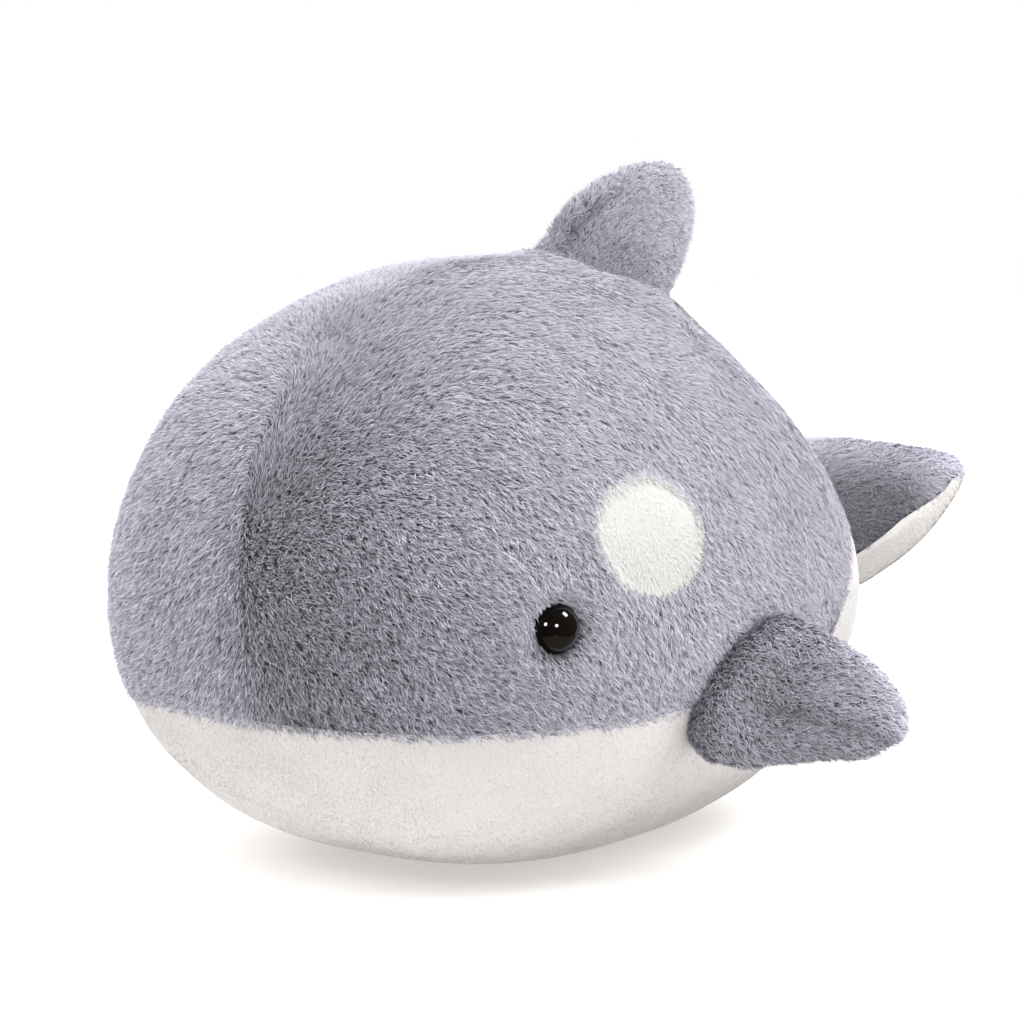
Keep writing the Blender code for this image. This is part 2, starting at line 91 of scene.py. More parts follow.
# Hollows and furrows in the covers: depth and width
DIMPLE_AT = (0.0, -0.099, 0.204)
DIMPLE = (0.0030, 0.0065)
EYE_HOLLOW = (0.0032, 0.0125)
SEAM_FURROW = (0.0005, 0.0022)
CROWN_FURROW = (0.0003, 0.004)
CROWN_FURROW_FROM = 0.066

# Swells of the filling: height and width, then the distance from the eye or the fin's middle
LUMP_HEIGHTS = (0.0009, 0.0004)
EYE_SWELL = (0.0006, 0.006, 0.018)
FIN_SWELL = (0.0036, 0.015, 0.042)
# The base stays flat up to the first height, and the shaping is whole at the second above it
SHAPED_FROM = (0.004, 0.02)
# Heaps beside the fin: height, width and place
HEAPS = ((0.0046, 0.019, (0.046, 0.048, 0.212)), (0.0030, 0.015, (0.018, 0.034, 0.226)),
         (0.0018, 0.016, (0.0, 0.026, 0.229)), (0.0046, 0.019, (-0.046, 0.048, 0.212)))

DENSITY = 1.0
rng = np.random.default_rng(20)


# ---- forms

def unit(v):
    return v / (np.linalg.norm(v, axis=-1, keepdims=True) + 1e-12)


def bell(t):
    """1 at 0, falling away on both sides."""
    return np.exp(-t * t)


def eased(t):
    t = np.clip(t, 0, 1)
    return t * t * (3 - 2 * t)


def ramp_up(value, start, width):
    """0 up to the start, then eased to 1 over the width."""
    return eased((value - start) / width)


def ramp_down(value, start, width):
    """0 down to the start, then eased to 1 over the width below it."""
    return eased((start - value) / width)


def distance(p, place):
    return np.linalg.norm(p - np.array(place), axis=-1)


def soften(height):
    return 0.5 * (height + np.sqrt(height * height + BASE_ROUNDING * BASE_ROUNDING))


LOWEST = soften(WAIST_HEIGHT - BELLY_DROP) + BASE_FLAT_DEPTH


def body_surface(direction, inset=0.0):
    """Points of the body's form in these directions, the inset under the pile's tips."""
    x, y, z = direction[..., 0], direction[..., 1], direction[..., 2]
    plan = PLAN_POWER[0] + PLAN_POWER[1] * y
    section = SECTION_POWER[0] + SECTION_POWER[1] * y
    level = (np.abs(x) ** plan + np.abs(y) ** plan) ** (section / plan)
    size = (level + np.abs(z) ** section) ** (-1 / section)
    u = direction * size[..., None]
    behind = np.maximum(u[..., 1], 0) ** 2
    reach = np.where(u[..., 1] < 0, NOSE_REACH, TAIL_REACH)
    rise = np.where(u[..., 2] > 0,
                    (CROWN_RISE - inset) * u[..., 2] * (1 - TAIL_CROWN_FALL * behind),
                    (BELLY_DROP - inset) * u[..., 2] * (1 + TAIL_BELLY_SWELL * behind))
    px = (HALF_WIDTH - inset) * u[..., 0] * (1 + TAIL_SWELL * behind)
    py = (reach - inset) * u[..., 1] + CROWN_LEAN * rise
    pz = np.maximum(inset + soften(WAIST_HEIGHT + rise - inset) - LOWEST, inset * LEAST_DEPTH_SHARE)
    return np.stack([px, py, pz], -1)


def body_depth(p, inset):
    """How far points lie outside the body's form (negative inside), roughly, in metres."""
    s = np.maximum(p[..., 2] - inset + LOWEST, 1e-4)
    rise = s - BASE_ROUNDING * BASE_ROUNDING / (4 * s) - WAIST_HEIGHT + inset
    uy = p[..., 1] - CROWN_LEAN * rise
    uy = uy / np.where(uy < 0, NOSE_REACH - inset, TAIL_REACH - inset)
    behind = np.maximum(uy, 0) ** 2
    uz = rise / np.where(rise > 0, (CROWN_RISE - inset) * (1 - TAIL_CROWN_FALL * behind),
                         (BELLY_DROP - inset) * (1 + TAIL_BELLY_SWELL * behind))
    ux = p[..., 0] / ((HALF_WIDTH - inset) * (1 + TAIL_SWELL * behind))
    d = unit(np.stack([ux, uy, uz], -1))
    plan = PLAN_POWER[0] + PLAN_POWER[1] * d[..., 1]
    section = SECTION_POWER[0] + SECTION_POWER[1] * d[..., 1]
    level = (np.abs(ux) ** plan + np.abs(uy) ** plan) ** (section / plan)
    ratio = (level + np.abs(uz) ** section) ** (1 / section)
    centre = np.array([0, 0, WAIST_HEIGHT])
    return (ratio - 1) * np.linalg.norm(p - centre, axis=-1) / np.maximum(ratio, 0.2) * 0.95


def heading(azimuth, elevation):
    return np.array([math.cos(elevation) * math.cos(azimuth), math.cos(elevation) * math.sin(azimuth),
                     math.sin(elevation)])


def headings(az, el):
    """The same for arrays of angles."""
    return np.stack([np.cos(el) * np.cos(az), np.cos(el) * np.sin(az), np.sin(el)], -1)


def surface_frame(azimuth, elevation, side):
    """Point on the body, tailward tangent, the tangent across, and the outward normal."""
    def at(az, el):
        return body_surface(heading(az, el))

    step = math.radians(0.5)
    point = at(azimuth, elevation)
    east = at(azimuth + step, elevation) - at(azimuth - step, elevation)
    north = at(azimuth, elevation + step) - at(azimuth, elevation - step)
    flip = np.array([side, 1, 1])
    point, normal = point * flip, unit(np.cross(east, north)) * flip
    tailward = unit(np.array([0, 1, 0]) - normal * normal[1])
    return point, tailward, np.cross(normal, tailward), normal


def seam_height(y):
    climb = eased((y - SEAM_CLIMB[0]) / (SEAM_CLIMB[1] - SEAM_CLIMB[0]))
    fall = eased((y - SEAM_FALL[0]) / (SEAM_FALL[1] - SEAM_FALL[0]))
    return SEAM_FRONT + (SEAM_CREST - SEAM_FRONT) * climb - (SEAM_CREST - SEAM_TAIL) * fall


def seam_line(p):
    return p[:, 2] - seam_height(p[:, 1])


def tuck_line(p):
    """The white panel's hidden edge, a little way up under the grey."""
    return seam_line(p) - TUCK


def rotated(a, b, turn):
    return a * math.cos(turn) - b * math.sin(turn), a * math.sin(turn) + b * math.cos(turn)


def patch_disc(side, inset, rings=26, turns=96):
    """An oval sheet over the patch's place, set on the body's form under the pile."""
    round_it = np.linspace(0, 2 * math.pi, turns, endpoint=False)
    r, t = np.meshgrid(np.linspace(0.01, 1, rings), round_it, indexing="ij")
    a, b = (r * np.cos(t) * PATCH_HALF[0]).ravel(), (r * np.sin(t) * PATCH_HALF[1]).ravel()
    a, b = rotated(a, b, PATCH_TILT)
    point, tailward, across, _ = surface_frame(*PATCH_AT, side)
    mirror = np.array([side, 1, 1])

    def place(az, el):
        q = body_surface(headings(az, el), inset) * mirror
        return q, (q - point) @ tailward, (q - point) @ across * side

    az, el = np.full(len(a), PATCH_AT[0]), np.full(len(a), PATCH_AT[1])
    step = 1e-4
    for _ in range(8):
        _q, u, v = place(az, el)
        _q, u1, v1 = place(az + step, el)
        _q, u2, v2 = place(az, el + step)
        m = np.stack([u1 - u, u2 - u, v1 - v, v2 - v], -1) / step
        off, over = a - u, b - v
        det = m[:, 0] * m[:, 3] - m[:, 1] * m[:, 2]
        az, el = az + (m[:, 3] * off - m[:, 1] * over) / det, el + (m[:, 0] * over - m[:, 2] * off) / det
    faces = grid_faces(rings, turns)
    flat = Skin(place(az, el)[0], faces)
    if (flat.normals[0] * (point - (0, 0, WAIST_HEIGHT))).sum() < 0:
        flat = Skin(flat.points, faces[:, ::-1])
    return Skin(shape_body(flat.points, flat.normals), flat.faces)


def patch_ratio(p, side):
    """1 on the patch's edge, less inside it, 9 on the body's other side."""
    point, along, across, normal = surface_frame(*PATCH_AT, side)
    away = p - point
    a, b = rotated(away @ along, away @ across * side, -PATCH_TILT)
    far = (np.abs(away @ normal) > PATCH_DEEPEST) | (p[..., 0] * side < 0)
    return np.where(far, 9.0, np.hypot(a / PATCH_HALF[0], b / PATCH_HALF[1]))


class Waves:
    """Smooth noise from a few crossed waves, about -1 to 1."""
    COUNT = 7
    USUAL_SUM = 3.2

    def __init__(self, length, seed):
        r = np.random.default_rng(seed)
        ways = unit(r.normal(size=(self.COUNT, 3)))
        self.k = ways * (2 * math.pi / length) * r.uniform(0.7, 1.4, (self.COUNT, 1))
        self.phase = r.uniform(0, 2 * math.pi, self.COUNT)

    def __call__(self, p):
        return np.sin(p @ self.k.T + self.phase).sum(-1) / self.USUAL_SUM


LUMPS = (Waves(0.085, 1), Waves(0.040, 2))
SWIRL = (Waves(0.045, 3), Waves(0.016, 4))
TONE_DRIFT = Waves(0.030, 5)

EYES = {side: surface_frame(*EYE_AT, side) for side in (1, -1)}


def shape_body(p, n):
    """Lumps of filling, the dip at the crown, the seams' furrows, swells at the fin and hollows at the eyes."""
    shift = LUMP_HEIGHTS[0] * LUMPS[0](p) + LUMP_HEIGHTS[1] * LUMPS[1](p)
    shift -= DIMPLE[0] * bell(distance(p, DIMPLE_AT) / DIMPLE[1])
    for point, *_ in EYES.values():
        r = distance(p, point)
        shift -= EYE_HOLLOW[0] * np.exp(-((r / EYE_HOLLOW[1]) ** 4))
        shift += EYE_SWELL[0] * bell((r - EYE_SWELL[2]) / EYE_SWELL[1])
    shift -= SEAM_FURROW[0] * bell(seam_line(p) / SEAM_FURROW[1])
    shift -= CROWN_FURROW[0] * bell(p[..., 0] / CROWN_FURROW[1]) * (p[..., 2] > CROWN_FURROW_FROM)
    q = fin.local(p)
    beside = np.maximum(np.abs(q[..., 0] + 0.002) - FIN_SWELL[2], 0)
    shift += FIN_SWELL[0] * np.exp(-(beside ** 2 + q[..., 2] ** 2) / FIN_SWELL[1] ** 2) * (q[..., 1] > -0.03)
    for height, width, place in HEAPS:
        shift += height * bell(distance(p, place) / width)
    shift *= ramp_up(p[..., 2], *SHAPED_FROM)
    return p + n * shift[..., None]


class Skin:
    """A grid of points turned into faces: what a cover panel is made of and what its pile grows from."""

    def __init__(self, points, faces):
        self.points = points
        self.faces = faces
        a, b, c, d = (points[faces[:, i]] for i in range(4))
        cross = np.cross(c - a, d - b)
        self.area = np.linalg.norm(cross, axis=-1) / 2
        normal = np.zeros_like(points)
        for i in range(4):
            np.add.at(normal, faces[:, i], cross)
        self.normals = unit(normal)

    def part(self, mask):
        """The faces in the mask as a skin of their own, with the whole skin's normals."""
        used, faces = np.unique(self.faces[mask], return_inverse=True)
        piece = Skin(self.points[used], faces.reshape(-1, 4))
        piece.normals = self.normals[used]
        return piece

    def drawn_to(self, mask, line):
        """The skin with the mask's border pulled onto the place where line is 0."""
        inside, outside = np.unique(self.faces[mask]), np.unique(self.faces[~mask])
        border = np.intersect1d(inside, outside)
        points, n = self.points.copy(), self.normals[border]
        step, furthest = 0.0001, 0.002
        for _ in range(4):
            p = points[border]
            slope = np.stack([line(p + e) - line(p - e) for e in np.eye(3) * step], -1) / (2 * step)
            slope -= n * (slope * n).sum(-1, keepdims=True)
            move = line(p)[:, None] * slope / ((slope * slope).sum(-1, keepdims=True) + 0.01)
            points[border] = p - np.clip(move, -furthest, furthest)
        return Skin(points, self.faces)

    def lifted(self, height):
        """The same skin further out along its normals."""
        skin = Skin(self.points + self.normals * height, self.faces)
        skin.normals = self.normals
        return skin

    def scatter(self, count):
        """Points spread evenly by area, with the skin's normals there."""
        total = np.cumsum(self.area)
        pick = (np.arange(count) + rng.random(count)) / count * total[-1]
        f = self.faces[np.minimum(np.searchsorted(total, pick), len(self.faces) - 1)]
        u, v = rng.random((2, count, 1))
        w = ((1 - u) * (1 - v), u * (1 - v), u * v, (1 - u) * v)
        p = sum(self.points[f[:, i]] * w[i] for i in range(4))
        n = sum(self.normals[f[:, i]] * w[i] for i in range(4))
        return p, unit(n)


def grid_faces(rows, columns):
    """Quads of a grid whose columns join up round it."""
    r, c = np.meshgrid(np.arange(rows - 1), np.arange(columns), indexing="ij")
    r, c = r.ravel(), c.ravel()
    d = (c + 1) % columns
    return np.stack([r * columns + c, r * columns + d, (r + 1) * columns + d, (r + 1) * columns + c], -1)


def body_skin(inset):
    columns, rows = ((300, 170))
    azimuth = np.linspace(-math.pi, math.pi, columns, endpoint=False)
    lift = np.linspace(-1, 1, rows)
    elevation = (0.55 * lift + 0.45 * lift ** 3) * (math.pi / 2 - POLE_GAP)
    az, el = np.meshgrid(azimuth, elevation)
    flat = Skin(body_surface(headings(az, el).reshape(-1, 3), inset), grid_faces(rows, columns))
    return Skin(shape_body(flat.points, flat.normals), flat.faces)


# ---- limbs

FLIPPER_OUTLINE = (
    (1.00, 0.00), (1.05, 0.18), (1.05, 0.38), (0.99, 0.58), (0.88, 0.75), (0.74, 0.89), (0.55, 0.98),
    (0.32, 0.99), (0.03, 0.88), (-0.28, 0.65), (-0.60, 0.40), (-0.86, 0.20), (-1.00, 0.00),
)
FIN_OUTLINE = (
    (1.00, 0.00), (0.98, 0.18), (1.04, 0.41), (1.10, 0.64), (1.05, 0.85), (0.86, 0.97), (0.61, 1.00),
    (0.30, 0.95), (-0.02, 0.85), (-0.28, 0.73), (-0.53, 0.60), (-0.76, 0.44), (-0.94, 0.24), (-1.00, 0.00),
)
TAIL_OUTLINE = (
    (0.3226, 0.00), (0.44, 0.03), (0.60, 0.05), (0.74, 0.11), (0.85, 0.25), (0.92, 0.50), (0.95, 0.80),
    (0.93, 0.96), (0.84, 1.07), (0.65, 1.12), (0.42, 1.16), (0.20, 1.17), (0.00, 1.15),
)


class Limb:
    """A stuffed limb: a pillow with a round root about its joint's axis.

    Local X runs along the root and Y outward.
    """

    def __init__(self, name, joint, out, outline, along, span, root_half, half_thickness, side=1):
        found = next(j for j in frame["joints"] if j["name"] == joint)
        x_axis = unit(np.array(found["axis"], float)) * side
        z_axis = unit(np.cross(x_axis, out))
        self.name = name
        self.origin = np.array(found["pos_m"], float)
        self.axes = np.stack([x_axis, np.cross(z_axis, x_axis), z_axis])
        self.root_half = root_half
        self.half_thickness = half_thickness
        self.span = span
        points = np.array(outline) * (along, span)
        if points[-1][0] == 0:
            points = np.vstack([points, (points[-2::-1] * (-1, 1))])
        self.rim = self.smooth_rim(points)

    def smooth_rim(self, points):
        """Points round the limb: its outline outside, then the round root inside."""
        half = 360
        share = np.linspace(0, 1, half, endpoint=False) * (len(points) - 1)
        i = np.minimum(share.astype(int), len(points) - 2)
        t = (share - i)[:, None]
        ends = np.vstack([points[:1] * 2 - points[1:2], points, points[-1:] * 2 - points[-2:-1]])
        p0, p1, p2, p3 = (ends[i + k] for k in range(4))
        bend = (p0 * 2 - p1 * 5 + p2 * 4 - p3) * t * t + (p1 * 3 - p0 - p2 * 3 + p3) * t * t * t
        outside = (p1 * 2 + (p2 - p0) * t + bend) / 2
        angle = np.linspace(math.pi, 2 * math.pi, half, endpoint=False)
        inside = np.stack([self.root_half * np.cos(angle), self.half_thickness * np.sin(angle)], -1)
        return np.vstack([outside, inside])

    def local(self, p):
        return (p - self.origin) @ self.axes.T

    def world(self, q):
        return q @ self.axes + self.origin

    def share(self, q):
        """1 on the limb's outline, 0 at its middle."""
        angle = np.arctan2(self.rim[:, 1], self.rim[:, 0])
        order = np.argsort(angle)
        reach = np.interp(np.arctan2(q[:, 1], q[:, 0]), angle[order],
                          np.linalg.norm(self.rim, axis=1)[order], period=2 * math.pi)
        return np.hypot(q[:, 0], q[:, 1]) / reach

    def depth(self, p):
        """How far points lie outside the limb (negative inside), roughly."""
        q = self.local(p)
        ratio = np.hypot(self.share(q), q[:, 2] / self.half_thickness)
        return (ratio - 1) * self.half_thickness

    def skin(self, inset, shape, detail):
        """The limb's cover this far under its form, shaped in its own frame."""
        turns, rises = ((int(200 * detail), int(60 * detail * detail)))
        rim = self.rim[(np.arange(turns) * len(self.rim) / turns).astype(int)]
        rim = rim * (1 - inset / np.linalg.norm(rim, axis=1))[:, None]
        lift = np.linspace(-1, 1, rises) * (math.pi / 2 - RIM_GAP)
        spread, level = np.cos(lift), np.sin(lift) * (self.half_thickness - inset)
        q = np.concatenate([rim[None] * spread[:, None, None],
                            np.broadcast_to(level[:, None, None], (rises, turns, 1))], -1).reshape(-1, 3)
        plain = Skin(self.world(q), grid_faces(rises, turns))
        q = shape(q, self.local(plain.points + plain.normals) - q, np.repeat(spread, turns))
        return Skin(self.world(q), plain.faces)


# ---- meshes

# ---- meshes

def link(obj):
    bpy.context.scene.collection.objects.link(obj)
    return obj


def new_mesh(name, points, faces, material, uv=None, smooth=True):
    """A mesh object straight from arrays; faces is a list of index arrays of one size each."""
    mesh = bpy.data.meshes.new(name)
    mesh.vertices.add(len(points))
    mesh.vertices.foreach_set("co", np.ascontiguousarray(points, np.float32).ravel())
    corners = np.concatenate([f.ravel() for f in faces]).astype(np.int32)
    sizes = np.concatenate([np.full(len(f), f.shape[1]) for f in faces])
    starts = np.concatenate([[0], np.cumsum(sizes)[:-1]]).astype(np.int32)
    mesh.loops.add(len(corners))
    mesh.loops.foreach_set("vertex_index", corners)
    mesh.polygons.add(len(sizes))
    mesh.polygons.foreach_set("loop_start", starts)
    if uv is not None:
        layer = mesh.uv_layers.new(name="OFBake")
        layer.data.foreach_set("uv", np.ascontiguousarray(uv[corners], np.float32).ravel())
    mesh.update(calc_edges=True)
    mesh.validate()
    if smooth:
        mesh.shade_smooth()
    mesh.materials.append(material)
    return link(bpy.data.objects.new(name, mesh))


def cover(name, skin, material):
    return new_mesh(name, skin.points, [skin.faces], material)


class Pile:
    """How a plush grows: lengths in metres, leans from the surface's normal in radians."""

    def __init__(self, length=0.0051, width=0.00030, density=3.9e6, per_tuft=3, tuft=0.0009, gather=0.35,
                 lean=(0.75, 1.40), spring=1.0, jitter=0.13, curl=(0.14, 0.34), roll=0.45, tone=(0.05, 0.13)):
        self.length, self.width, self.density, self.per_tuft = length, width, density, per_tuft
        self.tuft, self.gather, self.lean, self.jitter = tuft, gather, lean, jitter
        self.spring, self.curl, self.roll, self.tone = spring, curl, roll, tone


# What varies from tuft to tuft and from strand to strand; angles in radians
SWIRL_TURN = 0.16
SWIRL_SIZE = 0.04
TUFT_SIZE = (0.85, 1.15)
TUFT_LEAN = 0.10
UNCOMBED_LIFT = 0.35
TOUSLED_LIFT = 0.12
STRAND_LENGTH = (0.75, 1.1)
STRAND_WIDTH = (0.75, 1.25)
STRAND_LEAN = 0.14
LEAN_LIMITS = (0.05, 1.50)
ROOT_FLARE = 1.3
TONE_DRIFT_SHARE = 0.03
TONE_LIMITS = (0.02, 0.98)
# Where root, middle and tip lie on a strand's map, and half the map's width
RUN = (0.02, 0.02, 0.5, 0.5, 0.98)
MAP_HALF = 0.0012
LOWEST_POINT = 0.0002


def turned(v, n, angle):
    """Tangent vectors turned about the normals."""
    return v * np.cos(angle)[:, None] + np.cross(n, v) * np.sin(angle)[:, None]


def flattened(v, normal):
    """The part of a vector that lies in the surface."""
    return v - normal * (v * normal).sum(-1, keepdims=True)


def in_surface(v, normal):
    return unit(flattened(v, normal))


def grow(name, skin, pile, nap, material, keep, painted_light_and_shade=None, reach=None, ruffle=None):
    """Tufts of tapering strands over a skin.

    Each strand is a bent ribbon. Its map holds its tone across and its run from root to tip.
    """
    tufts = int(skin.area.sum() * pile.density * DENSITY / pile.per_tuft)
    centre, normal = skin.scatter(tufts)
    kept = keep(centre)
    centre, normal = centre[kept], normal[kept]
    count = len(centre)
    flow = flattened(nap(centre, normal), normal)
    combed = np.minimum(np.linalg.norm(flow, axis=-1), 1)
    rough = np.ones(count) if ruffle is None else ruffle(centre)
    swirl = SWIRL_TURN * SWIRL[0](centre) + SWIRL_TURN * SWIRL[1](centre)
    stray = rng.normal(0, pile.jitter, count) * rough / (0.3 + 0.7 * combed)
    flow = turned(unit(flow), normal, swirl + stray)
    size = rng.uniform(*TUFT_SIZE, count) * (1 + SWIRL_SIZE * SWIRL[1](centre[:, [1, 2, 0]]))
    if reach is not None:
        size = size * reach(centre)
    lean = rng.normal(0, TUFT_LEAN, count) * rough - UNCOMBED_LIFT * (1 - combed) - TOUSLED_LIFT * (rough - 1)
    lean = lean * pile.spring
    # Painted light and shade: the tone follows the given function, then varies at random from tuft to tuft
    tone = 0.5 * (np.ones(count) if painted_light_and_shade is None else painted_light_and_shade(centre))
    tone += pile.tone[0] * rough * rng.normal(size=count) + TONE_DRIFT_SHARE * TONE_DRIFT(centre)

    k = pile.per_tuft
    centre, normal, flow = (np.repeat(v, k, 0) for v in (centre, normal, flow))
    size, lean, tone, rough = (np.repeat(v, k) for v in (size, lean, tone, rough))
    m = len(centre)
    across = np.cross(normal, flow)
    away = rng.uniform(0, 2 * math.pi, m)
    far = np.sqrt(rng.random(m)) * pile.tuft * 1.15
    offset = flow * (np.cos(away) * far)[:, None] + across * (np.sin(away) * far)[:, None]
    calm = 0.50 + 0.50 * np.minimum(rough, 1)
    own = turned(flow, normal, rng.normal(0, pile.curl[0], m) * calm)
    length = (pile.length * size * rng.uniform(*STRAND_LENGTH, m))[:, None]
    l0, l1 = (np.clip(a + lean + pile.spring * calm * rng.normal(0, STRAND_LEAN, m), *LEAN_LIMITS)[:, None]
              for a in pile.lean)
    root = centre + offset
    middle = root + (normal * np.cos(l0) + own * np.sin(l0)) * length * 0.5 - offset * pile.gather * 0.35
    bent = turned(own, normal, rng.normal(0, pile.curl[1], m) * calm)
    tip = middle + (normal * np.cos(l1) + bent * np.sin(l1)) * length * 0.5 - offset * pile.gather * 0.65
    roll = rng.normal(0, pile.roll, m)[:, None]
    side = unit(np.cross(normal, tip - root))
    side = unit(side * np.cos(roll) + normal * np.sin(roll))
    wide = side * (pile.width * rng.uniform(*STRAND_WIDTH, m) / 2)[:, None]
    flare = wide * ROOT_FLARE
    points = np.stack([root - flare, root + flare, middle - wide, middle + wide, tip], 1)
    points[..., 2] = np.maximum(points[..., 2], LOWEST_POINT)
    tone = np.clip(tone + rng.normal(0, pile.tone[1], m) * rough ** 1.5, *TONE_LIMITS)
    u = np.stack([tone - MAP_HALF, tone + MAP_HALF, tone - MAP_HALF, tone + MAP_HALF, tone], 1)
    v = np.broadcast_to(np.array(RUN), u.shape)
    # Where the pile lies smooth the run is drawn in, with less painted root shade and tip light
    if ruffle is not None:
        v = 0.5 + (v - 0.5) * np.clip(0.15 + 0.75 * rough, 0.28, 1)[:, None]
    base = np.arange(m)[:, None] * 5
    faces = [base + np.array([0, 1, 3, 2]), base + np.array([2, 3, 4])]
    return new_mesh(name, points.reshape(-1, 3), faces, material, np.stack([u, v], -1).reshape(-1, 2))


# ---- finishes

class Value:
    """A socket's value in a material. Arithmetic on it adds Math nodes."""

    def __init__(self, finish, socket):
        self.finish = finish
        self.socket = socket

    def joined(self, operation, *values):
        return self.finish.node("ShaderNodeMath", {"operation": operation}, *values)

    def __radd__(self, other):
        return self.joined("ADD", other, self)

    def __rsub__(self, other):
        return self.joined("SUBTRACT", other, self)

    def __mul__(self, other):
        return self.joined("MULTIPLY", self, other)

    def __rmul__(self, other):
        return self.joined("MULTIPLY", other, self)


class Finish:
    """A material on a Principled shader, with constant sockets set directly."""

    def __init__(self, name, **constants):
        self.material = bpy.data.materials.new(name)
        self.material.use_nodes = True
        self.tree = self.material.node_tree
        self.shader = self.tree.nodes["Principled BSDF"]
        for socket, value in constants.items():
            self.shader.inputs[socket.replace("_", " ")].default_value = value

    def fill(self, socket, value):
        if isinstance(value, Value):
            self.tree.links.new(value.socket, socket)
        else:
            socket.default_value = value

    def node(self, kind, settings, *values, out=0, **named):
        node = self.tree.nodes.new(kind)
        for key, value in settings.items():
            setattr(node, key, value)
        for i, value in enumerate(values):
            self.fill(node.inputs[i], value)
        for key, value in named.items():
            self.fill(node.inputs[key], value)
        return Value(self, node.outputs[out])

    def mix(self, factor, a, b):
        """Colour a turning to colour b."""
        node = self.tree.nodes.new("ShaderNodeMix")
        node.data_type = "RGBA"
        self.fill(node.inputs[0], factor)
        self.fill(node.inputs[6], a)
        self.fill(node.inputs[7], b)
        return Value(self, node.outputs[2])

    def noise(self, scale, detail, roughness):
        where = self.node("ShaderNodeTexCoord", {}, out=3)
        return self.node("ShaderNodeTexNoise", {}, Vector=where, Scale=scale, Detail=detail,
                         Roughness=roughness)

    def ramp(self, value, stops):
        node = self.tree.nodes.new("ShaderNodeValToRGB")
        elements = node.color_ramp.elements
        while len(elements) < len(stops):
            elements.new(0.5)
        for element, (position, colour) in zip(elements, stops):
            element.position = position
            element.color = colour
        self.fill(node.inputs[0], value)
        return Value(self, node.outputs[0])

    def set(self, **links):
        for socket, value in links.items():
            self.fill(self.shader.inputs[socket.replace("_", " ")], value)
        return self.material

    def bump(self, height, strength, distance):
        return self.node("ShaderNodeBump", {}, Strength=strength, Distance=distance, Height=height)


def shade(colour, factor):
    return tuple(c * factor for c in colour[:3]) + (1.0,)


def pile_finish(name, root, body, tip, spread):
    """Fibre colour from root to tip, each strand a little lighter or darker than the next. The dark roots are
    painted shade between the strands, the pale tips painted light, and the tone also carries painted light and
    shade.
    """
    f = Finish(name, Roughness=0.62, Specular_IOR_Level=0.35, Sheen_Weight=0.18, Sheen_Roughness=0.45)
    place = f.node("ShaderNodeUVMap", {"uv_map": "OFBake"})
    tone = f.node("ShaderNodeSeparateXYZ", {}, place)
    run = f.node("ShaderNodeSeparateXYZ", {}, place, out=1)
    grown = f.ramp(run, ((0.0, root), (0.45, body), (1.0, tip)))
    dark = f.node("ShaderNodeVectorMath", {"operation": "SCALE"}, grown, Scale=1 - spread)
    light = f.node("ShaderNodeVectorMath", {"operation": "SCALE"}, grown, Scale=1 + spread)
    return f.set(Base_Color=f.mix(tone, dark, light), Roughness=0.70 - 0.16 * run)


def cloth_finish(name, colour, depth, mottle):
    """The knitted backing between the strands, in the pile's colour; its depth darkens it as painted shade
    between the strands, and its grain flecks it darker.
    """
    f = Finish(name, Roughness=0.9, Specular_IOR_Level=0.2, Sheen_Weight=0.2)
    grain = f.noise(900.0, 4.0, 0.6)
    drift = f.noise(60.0, 2.0, 0.5)
    dark, light = depth * (1 - 0.25 * mottle), depth * (1 + 0.2 * mottle)
    tint = f.mix(drift, shade(colour, dark), shade(colour, light))
    return f.set(Base_Color=f.mix(grain * (0.6 * mottle), tint, shade(colour, depth * 0.45)),
                 Roughness=0.84 + 0.14 * drift, Normal=f.bump(grain, 0.6 * mottle, 0.0006))


GREY = (0.410, 0.406, 0.462, 1.0)
WHITE = (0.825, 0.797, 0.780, 1.0)
SNOW = (0.690, 0.685, 0.665, 1.0)

# Roots painted dark as shade between the strands and tips painted pale as light, most strongly on the grey
grey_pile = pile_finish("grey_pile", shade(GREY, 0.26), shade(GREY, 1.02), shade(GREY, 2.05), 0.45)
white_pile = pile_finish("white_pile", shade(WHITE, 0.98), shade(WHITE, 1.00), shade(WHITE, 1.02), 0.16)
snow_pile = pile_finish("patch_pile", shade(SNOW, 0.96), shade(SNOW, 1.0), shade(SNOW, 1.04), 0.02)
grey_cloth = cloth_finish("grey_cloth", GREY, 0.58, 1.0)
white_cloth = cloth_finish("white_cloth", WHITE, 0.97, 0.12)
snow_cloth = cloth_finish("patch_cloth", SNOW, 1.00, 0.10)
fluke_grey_pile = pile_finish("fluke_pile", shade(GREY, 0.78), shade(GREY, 1.05), shade(GREY, 1.42), 0.64)
# A little paler copy of the white: painted light on the flukes' sideways underside
fluke_white_pile = pile_finish("fluke_white", shade(WHITE, 1.00), shade(WHITE, 1.02), shade(WHITE, 1.04),
                               0.06)


def eye_finish():
    f = Finish("eye_gloss", Specular_IOR_Level=0.55)
    cloud = f.noise(120.0, 2.0, 0.5)
    return f.set(Base_Color=f.mix(cloud, (0.0045, 0.0035, 0.003, 1.0), (0.010, 0.008, 0.007, 1.0)),
                 Roughness=0.05 + 0.05 * cloud)


def moulded_finish(name, colour, roughness):
    f = Finish(name)
    cloud = f.noise(300.0, 3.0, 0.5)
    return f.set(Base_Color=f.mix(cloud, shade(colour, 0.94), shade(colour, 1.04)),
                 Roughness=roughness + 0.12 * cloud, Normal=f.bump(cloud, 0.15, 0.0004))


eye_gloss = eye_finish()
# Painted shade: the dome's outer ring is matte, with almost no reflection, so it stays black as if in shade
eye_rim = moulded_finish("eye_rim", (0.004, 0.0035, 0.003), 0.35)
eye_rim.node_tree.nodes["Principled BSDF"].inputs["Specular IOR Level"].default_value = 0.06
washer_plastic = moulded_finish("washer_plastic", (0.70, 0.70, 0.68), 0.40)

# ---- nap of the body's pile

